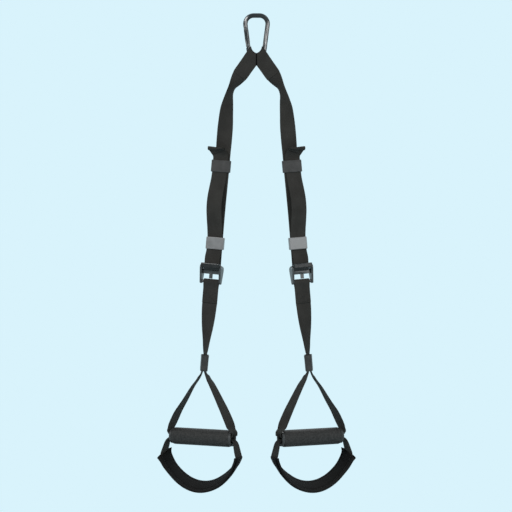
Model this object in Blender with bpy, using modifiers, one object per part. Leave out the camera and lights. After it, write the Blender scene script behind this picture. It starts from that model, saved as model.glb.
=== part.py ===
"""Suspension trainer: a carabiner that carries two adjustable straps with a grip and a foot loop each.

Metres, +Z up, +Y away from the viewer. The origin is the top of the inside of the carabiner,
where the anchor's edge lies. The straps are mirror images about the plane X = 0.
"""

import math

import bmesh
import bpy
from mathutils import Matrix, Vector
from mathutils.geometry import convex_hull_2d

# Fits
GAP = 0.0003
OVERRUN = 0.004

# Webbing
WEB_WIDTH = 0.031
WEB_THICK = 0.0018
NECK_WIDTH = 0.017

# Carabiner
BAR_RADIUS = 0.0047
CROWN_HALF = 0.0223
CROWN_CORNER = 0.0165
NOSE_DROP = 0.0165
BOW_RADIUS = 0.0158
BOW_DROP = 0.062
HINGE_DROP = 0.0545
TONGUE_THICK = 0.0032
TONGUE_LENGTH = 0.0052
TONGUE_ROOT = 0.0018
TONGUE_EYE_SHARE = 0.75
TONGUE_NECK_SHARE = 1.4
NOSE_FLAT_SHARE = 0.8
LATCH_SPAN_SHARE = 0.94
RIVET_SPAN_SHARE = 0.96
RIVET_RADIUS = 0.0016
LATCH_PIN_RADIUS = 0.0009
SPRING_BORE = 0.0027
SPRING_BORE_DEPTH = 0.0185
SPRING_WIRE = 0.00035
SPRING_RADIUS = 0.0019
SPRING_CURLS = 6
PLUNGER_LENGTH = 0.004

# Strap eye
EYE_LEAN = math.radians(35.3)
EYE_OFFSET = 0.0032
EYE_CROWN = 0.0085
EYE_SEAM_START = 0.018
EYE_LENGTH = 0.048

# Main strap between the eye and the run
RUN_LEAN = math.radians(4.95)
RUN_YAW = math.radians(15)
RUN_OUT = 0.0688
RUN_DROP = 0.264
BUCKLE_DROP = 0.512

# Tail, tab and keepers
TAB_RISE = 0.0215
TAB_FOLD = 0.0052
TAB_SLANT = 0.009
TAB_BEND = math.radians(75)
TAB_FOLD_START_SHARE = 0.6
TAB_FOLD_LENGTH_SHARE = 0.3
UPPER_KEEPER_LOW = 0.02
UPPER_KEEPER_DROP = RUN_DROP + UPPER_KEEPER_LOW
UPPER_KEEPER_HEIGHT = 0.024
LOWER_KEEPER_RISE = 0.074
LOWER_KEEPER_DROP = BUCKLE_DROP - LOWER_KEEPER_RISE
LOWER_KEEPER_HEIGHT = 0.0245
KEEPER_WALL = 0.0016
LOWER_KEEPER_WALL = 0.0022
KEEPER_SLACK = 0.0006
WALL_ROUND_SHARE = 0.6
TAIL_BULGE = 0.011
TAIL_SHIFT = 0.0035
TAIL_SWAY = 0.0025

# Buckle
BUCKLE_HALF = 0.0219
EAR_THICK = 0.0042
MID_BAR_RADIUS = 0.003
MID_BAR_BACK = 0.005
MID_BAR_RISE = 0.009
LOW_BAR_RADIUS = 0.003
LOW_BAR_DROP = 0.015
CROSSBAR_HEIGHT = 0.0074
CROSSBAR_THICK = 0.0025
CROSSBAR_FRONT = -0.0018
EAR_MARGIN = 0.0017
POST_WIDTH = 0.0068
POST_THICK_SHARE = 0.9
CAM_RADIUS = 0.006
CAM_RISE = 0.013
CAM_PIN_RADIUS = 0.0015
LIP_HEIGHT = 0.0098
LIP_THICK = 0.0042
LIP_RISE = 0.0039
LIP_OVERHANG = 0.0014
LIP_ROUND_SHARE = 0.42
CAM_SPRING_RADIUS = 0.0037
CAM_SPRING_WIRE = 0.00035
CAM_SPRING_CURLS = 3
CAM_SPRING_LENGTH = 0.0052

# Lower strap and ferrule
LOOP_JOIN = 0.012
LOWER_SEAM = 0.0426
LOWER_SHIFT = 0.0015
TWIST_POWER = 1.25
SLING_TURN_POWER = 5
FERRULE_OUT = 0.1042
FERRULE_DROP = 0.6735
FERRULE_HEIGHT = 0.032
FERRULE_WALL = 0.004
FERRULE_YAW = math.radians(87)
HANDLE_YAW = math.radians(25)

# Grip
GRIP_OUT = 0.1084
GRIP_DROP = 0.838
GRIP_HALF = 0.0685
FOAM_RADIUS = 0.0146
TUBE_RADIUS = 0.0116
TUBE_BORE = 0.0102
CAP_LENGTH = 0.0055
CAP_RADIUS = 0.0153
CAP_ROUND_SHARE = 0.2
WEB_SPLIT = 0.0026

# Foot loop
CRADLE_REACH = 0.0155
CRADLE_HALF = GRIP_HALF + CRADLE_REACH
CRADLE_DEPTH = 0.1
CRADLE_TOP = 0.036
CRADLE_WIDTH = 0.05
CRADLE_THICK = 0.0075
CRADLE_EDGE = 0.0035
CRADLE_ROLL = math.radians(13)
CRADLE_POINT = 1.6
CRADLE_SKEW = 0.2
CRADLE_SHIFT = 0.003
FOOT_WEB_WIDTH = 0.028
POCKET_TURN = 0.45
POCKET_SLACK = 0.0017

# Shares along the bent lengths
# How far each stop of the twisted part lies from the eye to the run: out, down, and its twist
TWIST_SHARES = [(0, 0, 0), (0.297, 0.09, -0.66), (0.595, 0.176, -1), (0.69, 0.318, -0.82),
                (0.77, 0.446, -0.57), (0.834, 0.568, -0.4), (0.897, 0.73, -0.1), (0.959, 0.892, 0.1),
                (1, 1, 0.24)]
TWIST_MOST = math.radians(62)
# The sling's limb from the grip's mouth up to the ferrule: out and up, as shares of grip and rise
LIMB_SHARES = [(1.005, 0.026), (1.045, 0.055), (1.05, 0.09), (1, 0.15), (0.9, 0.25), (0.727, 0.41),
               (0.51, 0.6), (0.268, 0.81)]
NECK_SHARE = 0.3
# The foot webbing from the grip's mouth to the cradle's end: out and down
FOOT_SHARES = [(0.1, 0.03), (0.42, 0.2), (0.68, 0.45), (0.86, 0.72), (1, 1)]
MOUTH_SHARES = (0.5, 0.8, 0.95)

# Steps and sides
BAND_STEPS = 28
ROUND_SIDES = 24
CAM_SIDES = 32
PIN_SIDES = 16
FINE_PIN_SIDES = 12
CORNER_STEPS = 9
BOW_STEPS = 14
RING_STEPS = 48
LOOP_STEPS = 12
TURN_STEPS = 10
OUTLINE_STEPS = 20
TAB_STEPS = 8
CUSHION_STEPS = 6
CURL_POINTS = 10
STOP_STEPS = 3
SHARP_ANGLE = math.radians(40)
MERGE_DISTANCE = 0.00001
SIDES = {"left": -1, "right": 1}


def clear_scene():
    """Start from nothing."""
    for thing in list(bpy.data.objects):
        bpy.data.objects.remove(thing)


def collection(name):
    made = bpy.data.collections.new(name)
    bpy.context.scene.collection.children.link(made)
    return made


def material(name, colour, roughness, metallic):
    made = bpy.data.materials.new(name)
    made.use_nodes = True
    shader = made.node_tree.nodes["Principled BSDF"]
    shader.inputs["Base Color"].default_value = (*colour, 1)
    shader.inputs["Roughness"].default_value = roughness
    shader.inputs["Metallic"].default_value = metallic
    return made


clear_scene()
PARTS = collection("suspension_trainer")
CUTTERS = collection("cutters")
BLACK_METAL = material("black_metal", (0.02, 0.02, 0.022), 0.35, 1)
STEEL = material("steel", (0.55, 0.55, 0.56), 0.3, 1)
GREY_METAL = material("grey_metal", (0.2, 0.2, 0.2), 0.4, 1)
WEBBING = material("webbing", (0.028, 0.028, 0.025), 0.85, 0)
KEEPER_GREY = material("keeper_grey", (0.06, 0.06, 0.06), 0.7, 0)
RUBBER_GREY = material("rubber_grey", (0.19, 0.19, 0.19), 0.35, 0)
FERRULE_BLACK = material("ferrule_black", (0.035, 0.035, 0.035), 0.6, 0)
FOAM = material("foam", (0.03, 0.03, 0.03), 0.9, 0)
PLASTIC = material("plastic", (0.05, 0.05, 0.05), 0.5, 0)
PADDING = material("padding", (0.012, 0.012, 0.013), 0.9, 0)


def link(thing, finish=None, group=None):
    """Put an object in its collection alone and give it its finish."""
    for home in list(thing.users_collection):
        home.objects.unlink(thing)
    (group or PARTS).objects.link(thing)
    if finish:
        thing.data.materials.clear()
        thing.data.materials.append(finish)
    return thing


def smooth(thing):
    thing.data.shade_smooth()
    thing.data.set_sharp_from_angle(angle=SHARP_ANGLE)
    return thing


def empty(name, matrix, parent=None):
    made = bpy.data.objects.new(name, None)
    PARTS.objects.link(made)
    made.parent = parent
    made.matrix_world = matrix
    bpy.context.view_layer.update()
    return made


def attach(thing, parent):
    """Parent an object that was modelled in its parent's own frame."""
    thing.parent = parent
    thing.matrix_parent_inverse = Matrix()
    return thing


def hold(thing, parent):
    """Parent an object that was modelled in world coordinates, and keep it where it is."""
    thing.parent = parent
    thing.matrix_parent_inverse = parent.matrix_world.inverted()
    return thing


def box(name, size, centre, finish=None, group=None):
    bpy.ops.mesh.primitive_cube_add(size=1)
    made = bpy.context.object
    made.name = name
    made.data.transform(Matrix.Translation(centre) @ Matrix.Diagonal((*size, 1)))
    return link(made, finish, group)


def cylinder(name, radius, length, centre, axis, finish=None, group=None, sides=ROUND_SIDES):
    """A round bar of the given length along axis, about centre."""
    bpy.ops.mesh.primitive_cylinder_add(vertices=sides, radius=radius, depth=length)
    made = bpy.context.object
    made.name = name
    turn = Vector((0, 0, 1)).rotation_difference(Vector(axis)).to_matrix().to_4x4()
    made.data.transform(Matrix.Translation(centre) @ turn)
    return smooth(link(made, finish, group))


def rounded(thing, width, segments=2):
    """Round an object's sharp edges."""
    bevel = thing.modifiers.new("rounded", "BEVEL")
    bevel.width = width
    bevel.segments = segments
    bevel.limit_method = "ANGLE"
    return thing


def combine(thing, other, operation):
    """Cut or join with a second object, which goes to the cutters."""
    boolean = thing.modifiers.new(operation.lower(), "BOOLEAN")
    boolean.operation = operation
    boolean.object = other
    boolean.solver = "EXACT"
    link(other, None, CUTTERS)
    other.hide_render = True
    other.display_type = "WIRE"
    return thing


def cut(thing, *others):
    for other in others:
        combine(thing, other, "DIFFERENCE")
    return thing


def join(thing, *others):
    for other in others:
        combine(thing, other, "UNION")
    return thing


def plate(name, outline, thick, finish=None, group=None):
    """A flat outline in the YZ plane, made thick along X about X = 0."""
    curve = bpy.data.curves.new(name, "CURVE")
    curve.dimensions = "2D"
    curve.fill_mode = "BOTH"
    curve.extrude = thick / 2
    spline = curve.splines.new("POLY")
    spline.points.add(len(outline) - 1)
    for point, (y, z) in zip(spline.points, outline):
        point.co = (y, z, 0, 1)
    spline.use_cyclic_u = True
    stand = Matrix(((0, 0, 1, 0), (1, 0, 0, 0), (0, 1, 0, 0), (0, 0, 0, 1)))
    return curve_to_mesh(name, curve, finish, group, stand)


def curve_to_mesh(name, curve, finish, group=None, matrix=None):
    """The closed mesh of a curve, with its loose caps welded."""
    source = bpy.data.objects.new(name + "_curve", curve)
    PARTS.objects.link(source)
    bpy.context.view_layer.update()
    ready = source.evaluated_get(bpy.context.evaluated_depsgraph_get())
    mesh = bpy.data.meshes.new_from_object(ready)
    bpy.data.objects.remove(source)
    shape = bmesh.new()
    shape.from_mesh(mesh)
    bmesh.ops.remove_doubles(shape, verts=shape.verts, dist=MERGE_DISTANCE)
    bmesh.ops.triangulate(shape, faces=[face for face in shape.faces if len(face.verts) > 4])
    bmesh.ops.recalc_face_normals(shape, faces=shape.faces)
    shape.to_mesh(mesh)
    shape.free()
    if matrix:
        mesh.transform(matrix)
    made = bpy.data.objects.new(name, mesh)
    PARTS.objects.link(made)
    return smooth(link(made, finish, group))


def wire(name, points, radius, finish, group=None, closed=False, resolution=1):
    """A round wire through points, with filled ends."""
    curve = bpy.data.curves.new(name, "CURVE")
    curve.dimensions = "3D"
    curve.bevel_depth = radius
    curve.bevel_resolution = resolution
    curve.use_fill_caps = not closed
    spline = curve.splines.new("POLY")
    spline.points.add(len(points) - 1)
    for point, place in zip(spline.points, points):
        point.co = (*place, 1)
    spline.use_cyclic_u = closed
    return curve_to_mesh(name, curve, finish, group)


def arc(centre, radius, start, end, steps):
    """Points of an arc as pairs, angles counted from the first axis to the second."""
    turns = [start + (end - start) * step / steps for step in range(steps + 1)]
    return [(centre[0] + radius * math.cos(t), centre[1] + radius * math.sin(t)) for t in turns]


def spline_through(stops, steps):
    """A smooth path through stops that start with x, y, z, as steps + 1 tuples spread evenly along it."""
    knots = [0]
    for one, two in zip(stops, stops[1:]):
        knots.append(knots[-1] + (Vector(two[:3]) - Vector(one[:3])).length)
    last = len(stops) - 1

    def slope(n, m):
        low, high = max(n - 1, 0), min(n + 1, last)
        return (stops[high][m] - stops[low][m]) / (knots[high] - knots[low])

    path = []
    for step in range(steps + 1):
        here = knots[-1] * step / steps
        n = max(k for k in range(last) if knots[k] <= here)
        span = knots[n + 1] - knots[n]
        t = (here - knots[n]) / span
        rise = t * t * (3 - 2 * t)
        path.append(tuple(
            stops[n][m] * (1 - rise) + stops[n + 1][m] * rise
            + span * t * (1 - t) * ((1 - t) * slope(n, m) - t * slope(n + 1, m))
            for m in range(len(stops[0]))))
    return path


def loft(name, rings, finish, group=None):
    """A closed solid through rings of as many points each."""
    shape = bmesh.new()
    rows = [[shape.verts.new(place) for place in ring] for ring in rings]
    sides = len(rows[0])
    for one, two in zip(rows, rows[1:]):
        for n in range(sides):
            m = (n + 1) % sides
            shape.faces.new((one[n], one[m], two[m], two[n]))
    shape.faces.new(rows[0])
    shape.faces.new(rows[-1])
    bmesh.ops.triangulate(shape, faces=shape.faces)
    bmesh.ops.recalc_face_normals(shape, faces=shape.faces)
    mesh = bpy.data.meshes.new(name)
    shape.to_mesh(mesh)
    shape.free()
    made = bpy.data.objects.new(name, mesh)
    PARTS.objects.link(made)
    return smooth(link(made, finish, group))


def band(name, path, widths, across, thick, finish, group=None):
    """A strap: a flat section that follows path, with its width along the across vectors.

    Its thickness is one value, or one for each point.
    """
    points = [Vector(place) for place in path]
    depths = thick if isinstance(thick, list) else [thick] * len(points)
    rings = []
    for n, place in enumerate(points):
        along = (points[min(n + 1, len(points) - 1)] - points[max(n - 1, 0)]).normalized()
        wide = Vector(across[n])
        wide = (wide - along * wide.dot(along)).normalized() * widths[n] / 2
        out = along.cross(wide).normalized() * depths[n] / 2
        rings.append([place + wide + out, place - wide + out, place - wide - out, place + wide - out])
    return loft(name, rings, finish, group)


def least_gap(points, radius, curl):
    """The least space between a winding's wire and its own next curl."""
    return min((Vector(points[n + curl]) - Vector(points[n])).length
               for n in range(len(points) - curl)) - 2 * radius


def helix(radius, pitch, curls, per_curl, start):
    """Points of a coil about Z that climbs from start."""
    turn = 2 * math.pi / per_curl
    return [(radius * math.cos(turn * n), radius * math.sin(turn * n), start + pitch * n / per_curl)
            for n in range(curls * per_curl + 1)]


def limb_geometry():
    """The left limb's straight line: its lean, its foot on the bow and its length to the crown."""
    crown = Vector((-(CROWN_HALF - CROWN_CORNER), BAR_RADIUS - CROWN_CORNER))
    bow = Vector((0, -BOW_DROP))
    apart = crown - bow
    lean = math.atan2(-apart.x, apart.y) + math.asin((CROWN_CORNER - BOW_RADIUS) / apart.length)
    normal = Vector((-math.cos(lean), -math.sin(lean)))
    foot = bow + normal * BOW_RADIUS
    head = crown + normal * CROWN_CORNER
    return lean, foot, (head - foot).length


LIMB_LEAN, LIMB_FOOT, LIMB_LENGTH = limb_geometry()
HINGE_RISE = (BOW_DROP - HINGE_DROP) / math.cos(LIMB_LEAN) + BOW_RADIUS * math.tan(LIMB_LEAN)
NOSE_RISE = LIMB_LENGTH - (NOSE_DROP - (CROWN_CORNER - BAR_RADIUS)) / math.cos(LIMB_LEAN)
GATE_LENGTH = NOSE_RISE - HINGE_RISE


def limb_frame():
    """On the gate's rivet, Z up the left limb."""
    along = Vector((-math.sin(LIMB_LEAN), 0, math.cos(LIMB_LEAN)))
    foot = Vector((LIMB_FOOT.x, 0, LIMB_FOOT.y))
    return Matrix.Translation(foot + along * HINGE_RISE) @ Matrix.Rotation(-LIMB_LEAN, 4, "Y")


def carabiner_body(frame):
    """The bent bar from the nose over the crown and round the bow to the gate's hinge."""
    corner = CROWN_HALF - CROWN_CORNER
    height = BAR_RADIUS - CROWN_CORNER
    down = Vector((math.sin(LIMB_LEAN), -math.cos(LIMB_LEAN)))
    nose = LIMB_FOOT - down * NOSE_RISE
    hinge = LIMB_FOOT - down * (HINGE_RISE - BAR_RADIUS - 2 * GAP)
    left = arc((-corner, height), CROWN_CORNER, math.pi + LIMB_LEAN, math.pi / 2, CORNER_STEPS)
    right = arc((corner, height), CROWN_CORNER, math.pi / 2, -LIMB_LEAN, CORNER_STEPS)
    bow = arc((0, -BOW_DROP), BOW_RADIUS, -LIMB_LEAN, LIMB_LEAN - math.pi, BOW_STEPS)
    line = [tuple(nose), *left, *right, *bow, tuple(hinge)]
    body = wire("carabiner_body", [(x, 0, z) for x, z in line], BAR_RADIUS, BLACK_METAL, resolution=3)
    body.data.transform(frame.inverted())

    root = TONGUE_ROOT + TONGUE_LENGTH
    flat = 2 * BAR_RADIUS * NOSE_FLAT_SHARE
    nose_tongue = box("nose_tongue", (flat, TONGUE_THICK, root),
                      (0, 0, GATE_LENGTH + TONGUE_ROOT - root / 2), None, CUTTERS)
    pin_drop = GATE_LENGTH - TONGUE_LENGTH / 2
    notch = cylinder("nose_notch", LATCH_PIN_RADIUS + GAP, OVERRUN + TONGUE_THICK, (0, 0, pin_drop),
                     (0, 1, 0))
    mouth = box("nose_mouth", (BAR_RADIUS, OVERRUN + TONGUE_THICK, 2 * (LATCH_PIN_RADIUS + GAP)),
                (BAR_RADIUS / 2, 0, pin_drop))
    eye = cylinder("hinge_tongue", BAR_RADIUS * TONGUE_EYE_SHARE, TONGUE_THICK, (0, 0, 0), (0, 1, 0))
    neck = box("hinge_neck", (BAR_RADIUS * TONGUE_NECK_SHARE, TONGUE_THICK - GAP, BAR_RADIUS + TONGUE_ROOT),
               (0, 0, -(BAR_RADIUS + TONGUE_ROOT) / 2))
    bore = cylinder("rivet_hole", RIVET_RADIUS + GAP, OVERRUN + TONGUE_THICK, (0, 0, 0), (0, 1, 0))
    for thing in (nose_tongue, notch, mouth, eye, neck, bore):
        hold(thing, body)
    body.matrix_world = frame
    join(body, nose_tongue, eye, neck)
    return cut(body, notch, mouth, bore)


def carabiner_gate(axis):
    """The gate with its two slots, rivet hole, latch pin hole and spring bore."""
    top = GATE_LENGTH - 2 * GAP
    gate = cylinder("carabiner_gate", BAR_RADIUS, top + BAR_RADIUS,
                    (0, 0, (top - BAR_RADIUS) / 2), (0, 0, 1), BLACK_METAL)
    slot = TONGUE_THICK + 2 * GAP
    reach = 2 * BAR_RADIUS + OVERRUN
    low = BAR_RADIUS + 2 * GAP
    high = TONGUE_LENGTH + 2 * GAP
    cutters = [
        box("gate_low_slot", (reach, slot, low + BAR_RADIUS + OVERRUN),
            (0, 0, low - (low + BAR_RADIUS + OVERRUN) / 2)),
        box("gate_high_slot", (reach, slot, high + OVERRUN),
            (0, 0, GATE_LENGTH - high + (high + OVERRUN) / 2)),
        cylinder("gate_rivet_hole", RIVET_RADIUS + GAP, reach, (0, 0, 0), (0, 1, 0)),
        cylinder("gate_latch_hole", LATCH_PIN_RADIUS + GAP, reach,
                 (0, 0, GATE_LENGTH - TONGUE_LENGTH / 2), (0, 1, 0)),
        cylinder("gate_spring_bore", SPRING_BORE, SPRING_BORE_DEPTH + OVERRUN,
                 (0, 0, low + (SPRING_BORE_DEPTH - OVERRUN) / 2), (0, 0, 1)),
    ]
    heel = cylinder("gate_heel", BAR_RADIUS, reach, (0, 0, 0), (0, 1, 0))
    trunk = box("gate_trunk", (reach, reach, GATE_LENGTH + OVERRUN), (0, 0, (GATE_LENGTH + OVERRUN) / 2))
    join(heel, trunk)
    combine(gate, heel, "INTERSECT")
    cut(gate, *cutters)
    for thing in (gate, heel, trunk, *cutters):
        attach(thing, axis)
    return gate


def gate_inside(axis):
    """The latch pin across the upper slot, and the plunger and spring in the bore."""
    pin = cylinder("gate_latch_pin", LATCH_PIN_RADIUS, 2 * BAR_RADIUS * LATCH_SPAN_SHARE,
                   (0, 0, GATE_LENGTH - TONGUE_LENGTH / 2), (0, 1, 0), STEEL, sides=FINE_PIN_SIDES)
    foot = BAR_RADIUS * TONGUE_EYE_SHARE + GAP
    plunger = cylinder("gate_plunger", SPRING_BORE - GAP, PLUNGER_LENGTH,
                       (0, 0, foot + PLUNGER_LENGTH / 2), (0, 0, 1), STEEL, sides=PIN_SIDES)
    top = BAR_RADIUS + 2 * GAP + SPRING_BORE_DEPTH
    start = foot + PLUNGER_LENGTH + SPRING_WIRE + GAP
    pitch = (top - start - SPRING_WIRE - GAP) / SPRING_CURLS
    points = helix(SPRING_RADIUS, pitch, SPRING_CURLS, CURL_POINTS, start)
    print("gate spring least gap", round(least_gap(points, SPRING_WIRE, CURL_POINTS), 5))
    spring = wire("gate_spring", points, SPRING_WIRE, STEEL, resolution=1)
    for thing in (pin, plunger, spring):
        attach(thing, axis)


def carabiner():
    """The whole karabiner, which everything hangs on."""
    frame = limb_frame()
    body = carabiner_body(frame)
    rivet = cylinder("gate_rivet", RIVET_RADIUS, 2 * BAR_RADIUS * RIVET_SPAN_SHARE, (0, 0, 0), (0, 1, 0),
                     STEEL, sides=PIN_SIDES)
    rivet.matrix_world = frame
    axis = empty("gate_axis", frame)
    carabiner_gate(axis)
    gate_inside(axis)
    return body


def teardrop(radius, crown, join_drop, half, end):
    """A loop's outline in the YZ plane: round at the top, drawn in to a flat strip down to end."""
    top = [(y, z) for y, z in arc((0, crown - radius), radius, 0, math.pi, LOOP_STEPS)]
    return [*top, (-half, -join_drop), (-half, -end), (half, -end), (half, -join_drop)]


def web_loop(name, bar, crown, join_drop, end, finish=None):
    """Webbing sewn round a bar at the origin: its outer solid and the cutter of its inside."""
    inner = bar + 2 * GAP
    outer = plate(name, teardrop(inner + WEB_THICK, crown, join_drop, WEB_THICK, end), WEB_WIDTH, finish)
    inside = plate(name + "_inside", teardrop(inner, crown - WEB_THICK, join_drop - OVERRUN, GAP, join_drop),
                   WEB_WIDTH + OVERRUN)
    return outer, inside


def strap_eye(name, side, axis):
    """The doubled end of the strap round the bow, trimmed where the two eyes meet."""
    eye, inside = web_loop(name, BAR_RADIUS, EYE_CROWN, EYE_SEAM_START, EYE_LENGTH, WEBBING)
    place = Matrix.Translation((-side * EYE_OFFSET, 0, -BOW_RADIUS))
    for thing in (eye, inside):
        thing.data.transform(place)
        attach(thing, axis)
    circle = arc((0, 0), BOW_RADIUS, 0, 2 * math.pi, RING_STEPS)[:-1]
    bow = wire(name + "_bow", [(x, 0, z) for x, z in circle], BAR_RADIUS + GAP, None, CUTTERS, closed=True,
               resolution=3)
    attach(bow, axis)
    reach = 2 * EYE_LENGTH
    other = box(name + "_other_side", (reach, reach, 2 * reach),
                (-side * (reach - GAP) / 2, 0, -BOW_DROP))
    hold(other, axis)
    return cut(eye, inside, bow, other)


def run_frame(side, drop):
    """On a strap's straight run at a height below the origin, Z up the strap, X across it."""
    out = RUN_OUT + (drop - RUN_DROP) * math.tan(RUN_LEAN)
    return (Matrix.Translation((side * out, 0, -drop)) @ Matrix.Rotation(-side * RUN_LEAN, 4, "Y")
            @ Matrix.Rotation(side * RUN_YAW, 4, "Z"))


def handle_frame(side):
    """On the grip's centre, X along the grip."""
    return Matrix.Translation((side * GRIP_OUT, 0, -GRIP_DROP)) @ Matrix.Rotation(side * HANDLE_YAW, 4, "Z")


def ferrule_frame(side):
    """In the ferrule's middle, Z up, X across the webbing, which stands nearly edge on."""
    return (Matrix.Translation((side * FERRULE_OUT, 0, -FERRULE_DROP - FERRULE_HEIGHT / 2))
            @ Matrix.Rotation(-side * RUN_LEAN, 4, "Y") @ Matrix.Rotation(side * FERRULE_YAW, 4, "Z"))


def up_run(drop):
    """A height below the origin as a height along the run over the buckle's centre."""
    return (BUCKLE_DROP - drop) / math.cos(RUN_LEAN)


TURN_RADIUS = MID_BAR_RADIUS + 2 * GAP + WEB_THICK / 2
MAIN_DEPTH = MID_BAR_BACK + TURN_RADIUS
TAIL_DEPTH = MAIN_DEPTH - WEB_THICK - 2 * GAP
CAM_DEPTH = MID_BAR_BACK - TURN_RADIUS - WEB_THICK / 2 - GAP - CAM_RADIUS
TAIL_END = up_run(UPPER_KEEPER_DROP) + 2 * GAP
BUCKLE_INSIDE = BUCKLE_HALF - EAR_THICK


def across_at(side, along, twist):
    """The strap's width direction: inwards in the picture's plane, turned forwards by twist."""
    inward = Vector((-side, 0, 0))
    inward = (inward - along * inward.dot(along)).normalized()
    forward = along.cross(inward).normalized()
    if forward.y > 0:
        forward.negate()
    return inward * math.cos(twist) + forward * math.sin(twist)


def twisted_band(name, side, stops, steps, finish, width=WEB_WIDTH):
    """A strap through stops of x, y, z and twist."""
    path = spline_through(stops, steps)
    points = [Vector(stop[:3]) for stop in path]
    across = []
    for n, stop in enumerate(path):
        along = (points[min(n + 1, steps)] - points[max(n - 1, 0)]).normalized()
        across.append(across_at(side, along, stop[3]))
    return band(name, points, [width] * len(points), across, WEB_THICK, finish)


def eye_end(side, axis):
    """The middle of the eye's lower end."""
    return axis.matrix_world @ Vector((-side * EYE_OFFSET, 0, -BOW_RADIUS - EYE_LENGTH - GAP))


def main_strap(name, side, axis, start):
    """From the eye, through the twist, down the straight run to the buckle's middle bar."""
    run = run_frame(side, RUN_DROP)
    first = run @ Vector((0, MAIN_DEPTH, 0))
    twisted = [(start.x + (first.x - start.x) * out, first.y * down, start.z + (first.z - start.z) * down,
                TWIST_MOST * turn) for out, down, turn in TWIST_SHARES[:-1]]
    buckle = run_frame(side, BUCKLE_DROP)
    last = buckle @ Vector((0, MAIN_DEPTH, MID_BAR_RISE + GAP))
    straight = [(*first.lerp(last, step / 4), RUN_YAW) for step in range(5)]
    strap = twisted_band(name, side, twisted + straight, 2 * BAND_STEPS, WEBBING)
    return hold(strap, axis)


def strap_turn(name, adjuster):
    """The webbing's half turn round the buckle's middle bar."""
    centre = (MID_BAR_BACK, MID_BAR_RISE)
    outline = [*arc(centre, TURN_RADIUS + WEB_THICK / 2, math.pi, 2 * math.pi, TURN_STEPS),
               *arc(centre, TURN_RADIUS - WEB_THICK / 2, 2 * math.pi, math.pi, TURN_STEPS)]
    return attach(plate(name, outline, WEB_WIDTH, WEBBING), adjuster)


def ease(share):
    share = min(max(share, 0), 1)
    return share * share * (3 - 2 * share)


def tail_place(side, height):
    """Where the tail lies at a height over the buckle's centre: it bows forwards and out."""
    near = MID_BAR_BACK - TURN_RADIUS
    leave = CAM_RISE + CAM_RADIUS
    reach = up_run(LOWER_KEEPER_DROP + LOWER_KEEPER_HEIGHT)
    low = up_run(LOWER_KEEPER_DROP)
    high = up_run(UPPER_KEEPER_DROP + UPPER_KEEPER_HEIGHT)
    share = min(max((height - low) / (high - low), 0), 1)
    bulge = math.sin(math.pi * share)**2
    depth = near + (TAIL_DEPTH - near) * ease((height - leave) / (reach - leave)) - TAIL_BULGE * bulge
    return side * (TAIL_SHIFT * ease(share) + TAIL_SWAY * bulge), depth, height


def tail_strap(name, side, adjuster):
    """The webbing's free end, from the cam up through both keepers."""
    start = MID_BAR_RISE + GAP
    heights = [start + (TAIL_END - start) * step / (2 * BAND_STEPS) for step in range(2 * BAND_STEPS + 1)]
    path = [tail_place(side, height) for height in heights]
    count = len(path)
    return attach(band(name, path, [WEB_WIDTH] * count, [(1, 0, 0)] * count, WEB_THICK, WEBBING), adjuster)


def tail_tab(name, side, adjuster):
    """The folded, stitched end, which bends forwards and out to a thick edge."""
    radius = TAB_RISE / math.sin(TAB_BEND)
    path, thick = [], []
    curve = arc((TAIL_DEPTH - radius, TAIL_END + 2 * GAP), radius, 0, TAB_BEND, TAB_STEPS)
    for step, (y, z) in enumerate(curve):
        share = step / TAB_STEPS
        path.append((side * (TAIL_SHIFT + TAB_SLANT * ease(share - 1 / TAB_STEPS)), y, z))
        folded = ease((share - TAB_FOLD_START_SHARE) / TAB_FOLD_LENGTH_SHARE)
        thick.append(WEB_THICK + (TAB_FOLD - WEB_THICK) * folded)
    count = len(path)
    return attach(band(name, path, [WEB_WIDTH] * count, [(1, 0, 0)] * count, thick, WEBBING), adjuster)


def sleeve(name, drop, height, wall, finish, adjuster, shift=0):
    """A keeper round the strap and its tail, which lies off to one side of it by shift."""
    front = TAIL_DEPTH - WEB_THICK / 2 - KEEPER_SLACK
    back = MAIN_DEPTH + WEB_THICK / 2 + KEEPER_SLACK
    middle = (shift / 2, (front + back) / 2, up_run(drop + height / 2))
    inside = (WEB_WIDTH + abs(shift) + 2 * KEEPER_SLACK, back - front)
    keeper = box(name, (inside[0] + 2 * wall, inside[1] + 2 * wall, height), middle, finish)
    rounded(keeper, wall * WALL_ROUND_SHARE)
    hole = box(name + "_inside", (*inside, height + OVERRUN), middle)
    attach(hole, adjuster)
    return cut(attach(keeper, adjuster), hole)


def hull_outline(circles):
    """The outline drawn tight round circles of centre y, centre z and radius."""
    points = []
    for y, z, radius in circles:
        points += arc((y, z), radius, 0, 2 * math.pi, OUTLINE_STEPS)[:-1]
    return [points[n] for n in convex_hull_2d(points)]


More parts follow.
